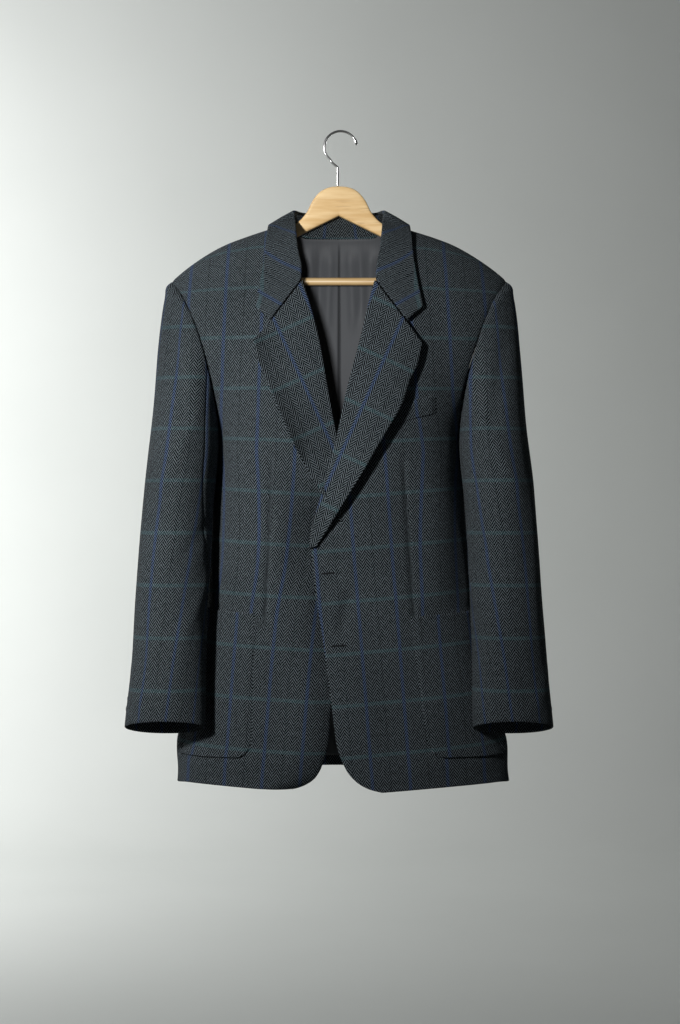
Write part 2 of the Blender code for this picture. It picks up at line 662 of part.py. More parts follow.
def build_sleeve(hand, front, back, material):
    """A two-piece sleeve from its armhole to the cuff; returns its outer points and directions."""
    steps = len(UPPER_ROWS)
    seam = [(front[0][row, -1], front[1][row, -1]) for row in range(len(RISES) - 1, UNDERARM_ROW - 1, -1)]
    seam += [(back[0][row, -1], back[1][row, -1]) for row in range(UNDERARM_ROW + 1, len(RISES) - 1)]
    ring = np.array([p for p, _ in seam]) * (hand, 1.0, 1.0)
    ring_out = np.array([n for _, n in seam]) * (hand, 1.0, 1.0)
    count = len(ring)
    angles = np.array([math.pi * k / steps for k in range(count)])
    rows = []
    heads = np.array([sleeve_section(a, SLEEVE_TOP) for a in angles])
    for share in np.linspace(0.0, 1.0, CAP_ROWS + 1):
        outward = np.stack([np.cos(angles), -np.sin(angles), np.zeros(count)], axis=1)
        bulge = CAP_BULGE * (0.5 + 0.5 * np.cos(angles))[:, None] ** CAP_BULGE_POWER
        lead = ring + (heads - ring) * CAP_SHARES[0] + outward * bulge
        tail = heads - (heads - ring) * CAP_SHARES[1]
        rest = 1.0 - share
        middle = 3 * rest ** 2 * share * lead + 3 * rest * share ** 2 * tail
        rows.append(rest ** 3 * ring + middle + share ** 3 * heads)
    for share in np.linspace(0.0, 1.0, ARM_ROWS + 1)[1:]:
        row = []
        for angle in angles:
            turned = angle + math.radians(SLEEVE_TURN) * smooth(share)
            end = CUFF_HEIGHT + CUFF_TILT * math.sin(turned)
            row.append(sleeve_section(turned, SLEEVE_TOP + (end - SLEEVE_TOP) * share))
        rows.append(np.array(row))
    outer = np.array(rows)
    around = np.roll(outer, -1, axis=1) - np.roll(outer, 1, axis=1)
    downward = np.gradient(outer, axis=0)
    normals = np.cross(around, downward)
    normals /= np.linalg.norm(normals, axis=2)[:, :, None]
    across = np.cross(around[0], ring_out)
    across *= np.sign(across[0, 0])
    across /= np.linalg.norm(across, axis=1)[:, None]
    leave = outer[1] - outer[0]
    leave /= np.linalg.norm(leave, axis=1)[:, None]
    onward = np.clip(ARMHOLE_LEAN + np.sum(leave * across, axis=1), 0.0, 1.0)[:, None]
    clear = onward * across + (1.0 - onward) * ring_out
    clear *= ARMHOLE_GAP / np.linalg.norm(clear, axis=1)[:, None]
    normals[0] = onward * ring_out + (1.0 - onward) * normals[0]
    normals[0] /= np.linalg.norm(normals[0], axis=1)[:, None]
    inner = outer - CLOTH * normals
    outer[0] += clear
    inner[0] += clear
    outer *= (hand, 1.0, 1.0)
    inner *= (hand, 1.0, 1.0)
    front_cut = round(math.radians(FRONT_SLEEVE_SEAM) / math.pi * steps)
    back_cut = round(math.radians(BACK_SLEEVE_SEAM) / math.pi * steps)
    cuts = {"top": [k % count for k in range(back_cut, count + front_cut + 1)],
            "under": list(range(front_cut, back_cut + 1))}
    side = "left" if hand > 0 else "right"
    for piece, columns in cuts.items():
        edges = ((0, 1), (-1, -2))
        walls = (inset(grid[:, columns], (), edges, HALF_SEAM) for grid in (outer, inner))
        wall(f"sleeve_{piece}_{side}", *walls, material)
    return outer, normals * (hand, 1.0, 1.0), cuts["top"]


def build_pocket(hand, points, normals, material):
    """A patch pocket with a rounded lower corner, moved out from the front's own points."""
    name = "pocket_left" if hand > 0 else "pocket_right"
    rows = range(POCKET_BOTTOM_ROW, POCKET_TOP_ROW + 1)
    columns = range(POCKET_FRONT_COLUMN, POCKET_BACK_COLUMN + 1)
    outer, inner = [], []
    for row in rows:
        outer.append([])
        inner.append([])
        for column in columns:
            r, c = float(row), float(column)
            ends = (column == columns[0], column == columns[-1])
            if row == rows[0] and any(ends):
                r += POCKET_CORNER[1][1]
                c += POCKET_CORNER[1][0] * (1 if ends[0] else -1)
            if row == rows[1] and any(ends):
                c += POCKET_CORNER[0][1] * (1 if ends[0] else -1)
            if row == rows[0] and column in (columns[1], columns[-2]):
                r += POCKET_CORNER[2][1]
            outer[-1].append(on_grid(points, normals, r, c, SEAM + CLOTH))
            inner[-1].append(on_grid(points, normals, r, c, SEAM))
    return wall(name, np.array(outer), np.array(inner), material)


def nearest_on_grid(points, x, z):
    """Row and column, as fractions, of a panel's point at a place to the side and a height."""
    row, column = points.shape[0] / 2, points.shape[1] / 2
    zero = np.zeros_like(points)
    step = 0.05
    for _ in range(60):
        here = on_grid(points, zero, row, column, 0.0)
        down = on_grid(points, zero, row + step, column, 0.0) - here
        over = on_grid(points, zero, row, column + step, 0.0) - here
        matrix = np.array([[down[0], over[0]], [down[2], over[2]]]) / step
        move = np.linalg.solve(matrix, np.array([x - here[0], z - here[2]]))
        row = float(np.clip(row + np.clip(move[0], -2, 2), 0, points.shape[0] - 1.2))
        column = float(np.clip(column + np.clip(move[1], -2, 2), 0, points.shape[1] - 1.2))
    return row, column


def build_welt(points, normals, material):
    """The slanted welt of the chest pocket, on the left front."""
    low_in, low_out, high_in, high_out = (np.array(c) for c in WELT_CORNERS)
    outer, inner = [], []
    for up in np.linspace(0.0, 1.0, WELT_STEPS[1]):
        outer.append([])
        inner.append([])
        for over in np.linspace(0.0, 1.0, WELT_STEPS[0]):
            low = low_in + (low_out - low_in) * over
            high = high_in + (high_out - high_in) * over
            place = nearest_on_grid(points, *(low + (high - low) * up))
            outer[-1].append(on_grid(points, normals, *place, WELT_GAP + WELT_CLOTH))
            inner[-1].append(on_grid(points, normals, *place, WELT_GAP))
    return wall("chest_welt", np.array(outer), np.array(inner), material)


def build_lining(hand, points, normals, material):
    """Half of the back lining, just inside the back."""
    name = "lining_left" if hand > 0 else "lining_right"
    edges = ((0, 1), (-1, -2))
    top = ((-1, -2),)
    walls = []
    for depth in (CLOTH + LINING_GAP, CLOTH + LINING_GAP + LINING):
        grid = (points - depth * normals)[LINING_BOTTOM_ROW:]
        walls.append(inset(grid, top, edges, SEAM))
    return wall(name, *walls, material)


def build_button(name, seat, outward, radius, material):
    """A turned button with a raised rim, seated just clear of the cloth."""
    outward = outward / np.linalg.norm(outward)
    sideways = np.cross(outward, (0.0, 0.0, 1.0))
    sideways /= np.linalg.norm(sideways)
    upward = np.cross(sideways, outward)
    rings = []
    for wide, high in BUTTON_PROFILE:
        turn = np.linspace(0.0, 2 * math.pi, BUTTON_SIDES, endpoint=False)
        centre = seat + outward * (SEAM + high * BUTTON_THICKNESS)
        rings.append([centre + radius * wide * (math.cos(t) * sideways + math.sin(t) * upward) for t in turn])
    return tube(name, rings, material)


def build_hanger(material):
    """The wooden hanger: a crown, two arms under the shoulder seams and a lug at each end."""
    stations = list(CROWN)
    for side in (*ARM_STATIONS, *LUG_STATIONS, HANGER_HALF):
        under = CLOTH + LINING_GAP + LINING + HANGER_SEAT
        top = ridge(side) - under * math.hypot(1.0, ridge_slope(side))
        end = LUG_ROUND if side == HANGER_HALF else 0.0
        bottom = top - ARM_HEIGHT if side < LUG_FROM else LUG_BOTTOM + end
        stations.append((side, top - end, bottom))
    rings = []
    mirrored = [(-s, t, b) for s, t, b in reversed(stations[1:])] + stations
    for side, top, bottom in mirrored:
        half = HANGER_THICK / 2
        right = [(HANGER_CREST, top), (half, top - HANGER_CREST_DROP),
                 (half, bottom + HANGER_CREST_DROP), (HANGER_CREST, bottom)]
        outline = right + [(-y, z) for y, z in reversed(right)]
        rings.append([(side, y, z) for y, z in outline])
    return tube("hanger_body", rings, material)


def ridge_slope(side):
    """Fall of the shoulder seam at a distance to the side."""
    step = 1e-4
    return (ridge(side + step) - ridge(side - step)) / (2 * step)


def build_bar(material):
    """The round trouser bar between the lugs."""
    reach = LUG_FROM - SEAM
    turn = np.linspace(0.0, 2 * math.pi, BAR_SIDES, endpoint=False)
    rings = []
    for x in (-reach, reach):
        rings.append([(x, BAR_RADIUS * math.cos(t), BAR_HEIGHT + BAR_RADIUS * math.sin(t)) for t in turn])
    return tube("hanger_bar", rings, material)


def hook_path():
    """Centre line of the hook: a stem, a shoulder to one side and a bow over the rail."""
    bow = HOOK_BOW + HOOK_WIRE
    centre = HOOK_WIRE - bow
    path = [(HOOK_STEM, HOOK_FOOT), (HOOK_STEM, HOOK_COLLAR), (HOOK_STEM, HOOK_NECK)]
    low = np.radians(np.linspace(HOOK_BOW_DEGREES, HOOK_TIP_DEGREES, HOOK_BOW_STEPS))
    start = (HOOK_BOW_CENTRE + bow * math.cos(low[0]), centre + bow * math.sin(low[0]))
    for share in HOOK_LEAN:
        ease = smooth(share)
        path.append((HOOK_STEM + (start[0] - HOOK_STEM) * ease, HOOK_NECK + (start[1] - HOOK_NECK) * share))
    path += [(HOOK_BOW_CENTRE + bow * math.cos(a), centre + bow * math.sin(a)) for a in low]
    return np.array(path)


def build_hook(material):
    """The wire hook, a round tube along its path with a rounded tip."""
    path = hook_path()
    tangent = np.gradient(path, axis=0)
    tangent /= np.linalg.norm(tangent, axis=1)[:, None]
    turn = np.linspace(0.0, 2 * math.pi, HOOK_SIDES, endpoint=False)
    rings = []
    for place, ((x, z), (tx, tz)) in enumerate(zip(path, tangent)):
        thick = HOOK_WIRE * (HOOK_TIP_SWELL if place > len(path) - 3 else 1.0)
        spokes = [(thick * math.cos(t), thick * math.sin(t)) for t in turn]
        rings.append([(x - tz * near, far, z + tx * near) for near, far in spokes])
    return tube("hanger_hook", rings, material)


def build_cuff_buttons(side, outer, normals, columns, material):
    """A row of small buttons up from the cuff, beside the back seam of the sleeve."""
    column = columns[0] + CUFF_BUTTON_COLUMN
    line = np.array([on_grid(outer, normals, row, column, 0.0) for row in range(outer.shape[0])])
    lengths = np.concatenate([[0.0], np.cumsum(np.linalg.norm(np.diff(line[::-1], axis=0), axis=1))])
    for number in range(CUFF_BUTTONS):
        distance = CUFF_BUTTON_FIRST + number * CUFF_BUTTON_PITCH
        row = outer.shape[0] - 1 - np.interp(distance, lengths, np.arange(len(lengths)))
        seat = on_grid(outer, normals, row, column, 0.0)
        outward = on_grid(outer, normals, row, column, 1.0) - seat
        build_button(f"button_cuff_{side}_{number + 1}", seat, outward, CUFF_BUTTON_RADIUS, material)


def main():
    """Builds every piece of the jacket and its hanger."""
    for item in list(bpy.data.objects):
        bpy.data.objects.remove(item)
    wool = paint("charcoal herringbone wool", (0.040, 0.044, 0.050), 0.9)
    satin = paint("grey satin lining", (0.12, 0.125, 0.135), 0.45)
    horn = paint("dark button", (0.016, 0.015, 0.015), 0.35)
    beech = paint("pale varnished wood", (0.72, 0.50, 0.27), 0.4)
    steel = paint("bright steel", (0.70, 0.70, 0.70), 0.25, 1.0)
    fronts, backs = {}, {}
    for hand, side in ((1, "left"), (-1, "right")):
        fronts[hand] = front_panel(hand)
        backs[hand] = back_panel(hand)
        wall(f"front_{side}", *panel_walls(*fronts[hand], ((-1, -2),), ((-1, -2),)), wool)
        wall(f"back_{side}", *panel_walls(*backs[hand], ((-1, -2),), ((0, 1), (-1, -2))), wool)
        build_lapel(hand, fronts[hand][0][:, 0], wool)
        build_pocket(hand, *fronts[hand], wool)
        build_lining(hand, *backs[hand], satin)
        outer, normals, columns = build_sleeve(hand, fronts[hand], backs[hand], wool)
        build_cuff_buttons(side, outer, normals, columns, horn)
    build_collar(fronts, backs, wool, wool)
    build_welt(*fronts[1], wool)
    for place, x, z in FRONT_BUTTONS:
        seat = front_point(x, z, -1)
        outward = front_point(x, z, -1, 1.0) - seat
        build_button(f"button_front_{place}", seat, outward, FRONT_BUTTON_RADIUS, horn)
    build_hanger(beech)
    build_bar(beech)
    build_hook(steel)


main()
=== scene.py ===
# %% [markdown]
# # A wool jacket on a wooden hanger
# The frame holds plain solids. This lesson lays finer cloth on their form, weaves it with shader
# nodes, sews it with Geometry Nodes and lights it. Loading the frame first gives every later
# cell the same origin: the point inside the hook where a rail carries it.

# %% Load the frame
import json
import math

import bmesh
import bpy
import numpy as np
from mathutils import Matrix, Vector

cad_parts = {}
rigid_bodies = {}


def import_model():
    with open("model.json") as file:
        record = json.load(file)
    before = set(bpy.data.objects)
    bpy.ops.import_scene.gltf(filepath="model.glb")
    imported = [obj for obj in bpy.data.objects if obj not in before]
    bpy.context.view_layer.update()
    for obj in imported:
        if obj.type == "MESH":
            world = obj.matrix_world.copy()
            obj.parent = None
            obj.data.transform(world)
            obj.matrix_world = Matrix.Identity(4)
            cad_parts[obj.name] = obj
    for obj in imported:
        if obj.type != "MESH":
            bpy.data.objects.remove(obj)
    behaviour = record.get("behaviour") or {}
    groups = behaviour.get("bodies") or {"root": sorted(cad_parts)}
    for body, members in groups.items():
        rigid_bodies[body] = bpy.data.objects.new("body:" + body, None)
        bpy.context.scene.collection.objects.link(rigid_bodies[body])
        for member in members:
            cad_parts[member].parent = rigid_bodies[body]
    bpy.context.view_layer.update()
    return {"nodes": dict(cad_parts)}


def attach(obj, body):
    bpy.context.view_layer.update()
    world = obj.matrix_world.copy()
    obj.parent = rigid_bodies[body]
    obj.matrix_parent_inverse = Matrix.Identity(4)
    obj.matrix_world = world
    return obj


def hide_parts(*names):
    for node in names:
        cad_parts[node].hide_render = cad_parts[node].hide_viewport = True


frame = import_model()
print("solids in the frame:", len(frame["nodes"]))

# %% [markdown]
# A garment on a hanger has one smooth form under all its pieces. It could be sculpted, but a few
# short tables read with a smooth curve keep every piece on the same form, so seams meet without
# any fitting by hand.

# %% Curves through short tables
def spread(count):
    """Shares from 0 to 1, evenly apart."""
    return np.linspace(0.0, 1.0, count)


def join(*columns):
    """Columns of numbers side by side, on a last axis."""
    return np.stack(columns, axis=-1)


def unit(vectors):
    """Directions: vectors of length 1."""
    return vectors / np.linalg.norm(vectors, axis=-1, keepdims=True)


def smooth(share):
    """An even ease from 0 to 1."""
    share = np.clip(share, 0.0, 1.0)
    return share * share * (3.0 - 2.0 * share)


def along(rows, key, column):
    """A smooth curve through a table's column, read at keys of its first column."""
    table = np.array(sorted(rows), float)
    places, values = table[:, 0], table[:, column]
    steps = np.diff(places)
    slopes = np.diff(values) / steps
    turning = slopes[1:] * slopes[:-1] > 0.0
    inner = np.where(turning, 2.0 * slopes[1:] * slopes[:-1] / (slopes[1:] + slopes[:-1] + 1e-12), 0.0)
    tangents = np.concatenate([slopes[:1], inner, slopes[-1:]])
    key = np.clip(key, places[0], places[-1])
    cell = np.clip(np.searchsorted(places, key, side="right") - 1, 0, len(steps) - 1)
    share = (key - places[cell]) / steps[cell]
    rise = smooth(share)
    lead = share * (1.0 - share) ** 2 * steps[cell]
    tail = share * share * (share - 1.0) * steps[cell]
    return (values[cell] * (1.0 - rise) + values[cell + 1] * rise
            + tangents[cell] * lead + tangents[cell + 1] * tail)


def refine(stations, count):
    """A smooth curve through rows of numbers, with count rows."""
    slopes = np.gradient(stations, axis=0)
    place = np.linspace(0.0, len(stations) - 1.0, count)
    cell = np.minimum(place.astype(int), len(stations) - 2)
    share = (place - cell)[:, None]
    rise = smooth(share)
    return (stations[cell] * (1.0 - rise) + stations[cell + 1] * rise
            + slopes[cell] * share * (1.0 - share) ** 2 + slopes[cell + 1] * share * share * (share - 1.0))


print("half way up an ease:", smooth(0.5))

# %% [markdown]
# The body is half a rounded section in front and half behind. Above the underarm it closes on the
# shoulder ridge. A point is named by its turn round the body and its rise from hem to shoulder,
# which is how a tailor thinks of a panel too.

# %% The form of the body
UNDERARM, HEM_SIDE = -0.4414, -0.9240
# the hem: its swing behind, its drop at the sides, and its rise, drop and corner in front
BACK_SWING, SIDE_DROP = 0.0095, 0.0028
FRONT_RISE, FRONT_DROP, FRONT_CORNER = 0.0150, 0.0130, 0.0020
NECK_HALF, SHOULDER_HALF = 0.078, 0.2405
# the shoulder seam: its height at a place to the side, its slope, and its droop past another place
RIDGE_Z, RIDGE_X, RIDGE_SLOPE, DROOP_X, DROOP = -0.1401, 0.100, 0.345, 0.152, 3.2
SECTION_POWER, YOKE_GAIN, YOKE_FULL = 2.3, 0.075, 0.70
# the overlap: where it begins to fade, over what width and height, and how far each front moves
LAP_FROM, LAP_FADE, LAP_TALL, LAP_OUT = 0.035, 0.090, 0.220, {1: 0.004, -1: -0.005}
SIDES = ((1, "left"), (-1, "right"))
# height, half width, depth in front, depth behind, shift to the wearer's left
BODY = (
    (-0.4414, 0.1700, 0.108, 0.095, 0.000),
    (-0.5100, 0.1785, 0.105, 0.093, 0.000),
    (-0.6100, 0.1872, 0.100, 0.090, 0.000),
    (-0.7300, 0.1990, 0.092, 0.085, 0.001),
    (-0.8300, 0.2178, 0.086, 0.082, 0.003),
    (-0.9340, 0.2375, 0.082, 0.080, 0.006),
)


def ridge(side):
    """Height of the shoulder seam."""
    side = np.abs(side)
    return RIDGE_Z - RIDGE_SLOPE * (side - RIDGE_X) - DROOP * np.maximum(0.0, side - DROOP_X) ** 2


def hollow(sine):
    """Depth of the section, as a share, at a share of its half width."""
    return np.maximum(0.0, 1.0 - np.abs(sine) ** SECTION_POWER) ** (1.0 / SECTION_POWER)


def yoke_half(share):
    """Half width above the underarm."""
    return BODY[0][1] + YOKE_GAIN * smooth(share / YOKE_FULL)


def body(turn, rise, face):
    """Points of the outer cloth; face is -1 in front and 1 behind."""
    turn, rise = np.broadcast_arrays(turn, rise)
    column = 2 if face < 0 else 3
    sine, up = np.sin(turn), np.maximum(rise, 0.0)
    share = np.sin(up)
    high_x = yoke_half(share) * sine
    high_y = BODY[0][column] * hollow(sine) * np.cos(up)
    high_z = UNDERARM + share * (ridge(high_x) - UNDERARM)
    out = np.abs(sine)
    if face > 0:
        swing = BACK_SWING * np.cos(turn)
    else:
        swing = FRONT_RISE * out - FRONT_DROP - FRONT_CORNER * out ** 8
    hem = HEM_SIDE - SIDE_DROP * (1.0 - smooth(np.cos(turn) / 0.4)) + swing
    low_z = UNDERARM + np.minimum(rise, 0.0) * (UNDERARM - hem)
    low_x = along(BODY, low_z, 1) * sine + along(BODY, low_z, 4)
    low_y = along(BODY, low_z, column) * hollow(sine)
    pairs = ((high_x, low_x), (high_y, low_y), (high_z, low_z))
    x, y, z = (np.where(rise >= 0.0, high, low) for high, low in pairs)
    return join(x, face * y, z)


def lap(side, height, hand):
    """The left front is lifted over the right one near the centre."""
    near = 1.0 - smooth((hand * side - LAP_FROM) / LAP_FADE)
    low = 1.0 - smooth((height - UNDERARM) / LAP_TALL)
    return LAP_OUT[hand] * near * low


def front_depth(x, z, hand):
    """Depth of one front at a place to the side and a height."""
    share = np.clip((z - UNDERARM) / (ridge(x) - UNDERARM), 0.0, 0.9999)
    high = BODY[0][2] * hollow(np.clip(x / yoke_half(share), -1, 1)) * np.sqrt(1.0 - share * share)
    sine = np.clip((x - along(BODY, z, 4)) / along(BODY, z, 1), -1.0, 1.0)
    low = along(BODY, z, 2) * hollow(sine)
    return -np.where(z >= UNDERARM, high, low) - lap(x, z, hand)


def off_front(x, z, hand, out):
    """Points a distance out from the cloth of one front."""
    x, z, out = np.broadcast_arrays(x, z, out)
    step = 0.0005
    across = (front_depth(x + step, z, hand) - front_depth(x - step, z, hand)) / (2 * step)
    upward = (front_depth(x, z + step, hand) - front_depth(x, z - step, hand)) / (2 * step)
    outward = unit(join(across, -np.ones_like(across), upward))
    return join(x, front_depth(x, z, hand), z) + out[..., None] * outward


print("chest point of the form:", body(0.0, 0.0, -1).round(3))

# %% [markdown]
# Hanging cloth is never quite smooth. A cloth simulation could crease it, but it would not put
# the creases where the photo has them, so each crease here is one row of a table: where it runs,
# how wide it is and how high. A slow ripple breaks up what is left.

# %% Creases
WAVES = 7


def bell(distance, width):
    """1 at no distance, falling softly to nothing."""
    return np.exp(-(distance / width) ** 2)


def crease(off, on, width, height, soft):
    """One soft ridge or trough, from the distance off its line and the share along it."""
    return height * bell(off, width) * smooth(on / soft + 0.5) * smooth((1.0 - on) / soft + 0.5)


def creases(rows, a, b):
    """Soft ridges and troughs along short lines, as a height over places a, b."""
    total = np.zeros(np.broadcast(a, b).shape)
    for a0, b0, a1, b1, width, height in rows:
        run = np.array([a1 - a0, b1 - b0])
        length = np.linalg.norm(run)
        on = ((a - a0) * run[0] + (b - b0) * run[1]) / length ** 2
        off = ((a - a0) * run[1] - (b - b0) * run[0]) / length
        total += crease(off, on, width, height, 0.3)
    return total


def ripple(a, b, seed, size, height):
    """A slow uneven wave of the cloth."""
    rng = np.random.default_rng(seed)
    total = np.zeros(np.broadcast(a, b).shape)
    for _ in range(WAVES):
        angle, phase = rng.uniform(0.0, 2 * math.pi, 2).tolist()
        stretch = rng.uniform(0.7, 1.8)
        total += np.sin((a * math.cos(angle) * 1.6 + b * math.sin(angle)) * stretch / size + phase)
    return total * height / WAVES ** 0.5


def normals_of(points, sign):
    """Outward directions of a grid of points."""
    normals = np.cross(np.gradient(points, axis=1), np.gradient(points, axis=0)) * sign
    return normals / np.maximum(np.linalg.norm(normals, axis=2, keepdims=True), 1e-12)


def lengths(points, axis):
    """Distance walked along the rows or columns of a grid."""
    steps = np.linalg.norm(np.diff(points, axis=axis), axis=2)
    start = np.zeros_like(np.take(steps, [0], axis=axis))
    return np.concatenate([start, np.cumsum(steps, axis=axis)], axis=axis)


def running(path):
    """Directions along a path."""
    return unit(np.gradient(path, axis=0))


print("a crease of 3 mm at its middle:", creases(((0, 0, 0, 1, 0.01, 0.003),), 0.0, 0.5))

# %% [markdown]
# The wool is a herringbone: warp yarns float over dark weft in slanted lines, and the slant turns
# every few millimetres. Some warp yarns are blue and some weft yarns are teal, which makes the
# windowpane. An image could carry all this; built from maths on a UV map in metres it stays sharp
# at any distance, and each piece only has to say how its cloth was laid.

# %% A small kit for shader nodes
def value(tree, operation, *inputs):
    """A math node; numbers and sockets both go in."""
    node = tree.nodes.new("ShaderNodeMath")
    node.operation = operation
    for socket, given in zip(node.inputs, inputs):
        if isinstance(given, (int, float)):
            socket.default_value = given
        else:
            tree.links.new(given, socket)
    return node.outputs[0]


def mixed(tree, share, first, second, blend="MIX"):
    """A mix of two colours; each is a socket or three numbers."""
    node = tree.nodes.new("ShaderNodeMix")
    node.data_type, node.blend_type = "RGBA", blend
    for socket, given in zip((node.inputs[0], node.inputs[6], node.inputs[7]), (share, first, second)):
        if isinstance(given, (int, float)):
            socket.default_value = given
        elif isinstance(given, tuple):
            socket.default_value = (*given, 1.0)
        else:
            tree.links.new(given, socket)
    return node.outputs[2]


def step(tree, given, low, high):
    """A soft step from 0 to 1."""
    node = tree.nodes.new("ShaderNodeMapRange")
    node.interpolation_type = "SMOOTHSTEP"
    tree.links.new(given, node.inputs[0])
    node.inputs[1].default_value, node.inputs[2].default_value = low, high
    return node.outputs[0]


def noise(tree, vector, scale, detail=2.0, stretch=None):
    """A noise value, on places that can be stretched first."""
    if stretch:
        node = tree.nodes.new("ShaderNodeMapping")
        node.inputs["Scale"].default_value = stretch
        tree.links.new(vector, node.inputs["Vector"])
        vector = node.outputs[0]
    node = tree.nodes.new("ShaderNodeTexNoise")
    tree.links.new(vector, node.inputs["Vector"])
    node.inputs["Scale"].default_value, node.inputs["Detail"].default_value = scale, detail
    return node.outputs[0]


def shaded(tree, colour, share):
    """A colour times a grey share."""
    grey = tree.nodes.new("ShaderNodeCombineColor")
    for socket in grey.inputs:
        tree.links.new(share, socket)
    return mixed(tree, 1.0, colour, grey.outputs[0], "MULTIPLY")


def group(name, kind, inputs, outputs):
    """An empty node group with its own sockets."""
    tree = bpy.data.node_groups.new(name, kind + "NodeTree")
    for way, sockets in (("INPUT", inputs), ("OUTPUT", outputs)):
        for label, sort in sockets:
            tree.interface.new_socket(label, in_out=way, socket_type="NodeSocket" + sort)
    return tree, tree.nodes.new("NodeGroupInput"), tree.nodes.new("NodeGroupOutput")


def material(name, roughness, **constants):
    """A material with its node tree and its shader."""
    item = bpy.data.materials.new(name)
    item.use_nodes = True
    tree = item.node_tree
    shader = tree.nodes["Principled BSDF"]
    shader.inputs["Roughness"].default_value = roughness
    for label, number in constants.items():
        shader.inputs[label.replace("_", " ")].default_value = number
    return item, tree, shader


def paint(tree, shader, colour, roughness=None):
    """Joins a colour to the shader, and a roughness where that varies."""
    tree.links.new(colour, shader.inputs["Base Color"])
    if roughness is not None:
        tree.links.new(roughness, shader.inputs["Roughness"])


def bump(tree, shader, height, distance, strength=1.0):
    """Relief from a height."""
    node = tree.nodes.new("ShaderNodeBump")
    node.inputs["Distance"].default_value, node.inputs["Strength"].default_value = distance, strength
    tree.links.new(height, node.inputs["Height"])
    tree.links.new(node.outputs[0], shader.inputs["Normal"])


print("shader kit ready")

# %% [markdown]
# The weave itself is a node group. Rounding the place across to the nearest warp yarn gives the
# lines their stepped, woven edge. Half a step of offset where the slant turns makes the break
# that tells a herringbone from a plain zigzag.

# %% The herringbone group
# in metres: a warp yarn, a weft yarn, the width of a rib and the height of a slanted line
YARN, PICK, RIB, PITCH = 0.00078, 0.00086, 0.00625, 0.0047
STEEP = 1.38
# the windowpane: its size across and down, and half widths of its blue, teal and faint dark lines
PANE_ACROSS, PANE_DOWN = 0.0530, 0.0724
BLUE_HALF, TEAL_HALF, DARK_HALF = 0.0023, 0.0026, 0.0007
DARK_WEFT, TEAL_WEFT, BLUE_WEFT = (0.0014, 0.0018, 0.0022), (0.013, 0.043, 0.048), (0.006, 0.011, 0.030)
LIGHT_WARP, BLUE_WARP = ((0.134, 0.161, 0.178), (0.227, 0.270, 0.297)), (0.139, 0.200, 0.332)
# shares: hair on the edge of a float, dark and blue in the warp, roundness of the weft
HAIR, DARK_SHARE, BLUE_SHARE, WEFT_ROUND = 0.22, 0.32, 0.90, 0.5
# shade in the hollows, and how much a round yarn adds to it
HOLLOW_SHADE, ROUND_SHADE = 0.66, 0.55


def parts(tree, vector):
    """The first two parts of a vector."""
    split = tree.nodes.new("ShaderNodeSeparateXYZ")
    tree.links.new(vector, split.inputs[0])
    return split.outputs[0], split.outputs[1]


def rounded(tree, place, size):
    """A yarn's round back: 0 at its edges, 1 in the middle."""
    share = value(tree, "FRACT", value(tree, "DIVIDE", place, size))
    return value(tree, "SINE", value(tree, "MULTIPLY", share, math.pi))


def pane_nearest(tree, place, pitch, half):
    """1 on the windowpane's lines: where a place is near a whole multiple of the pitch."""
    whole = value(tree, "MULTIPLY", value(tree, "ROUND", value(tree, "DIVIDE", place, pitch)), pitch)
    away = value(tree, "ABSOLUTE", value(tree, "SUBTRACT", place, whole))
    return value(tree, "SUBTRACT", 1.0, step(tree, away, half * 0.8, half * 1.15))


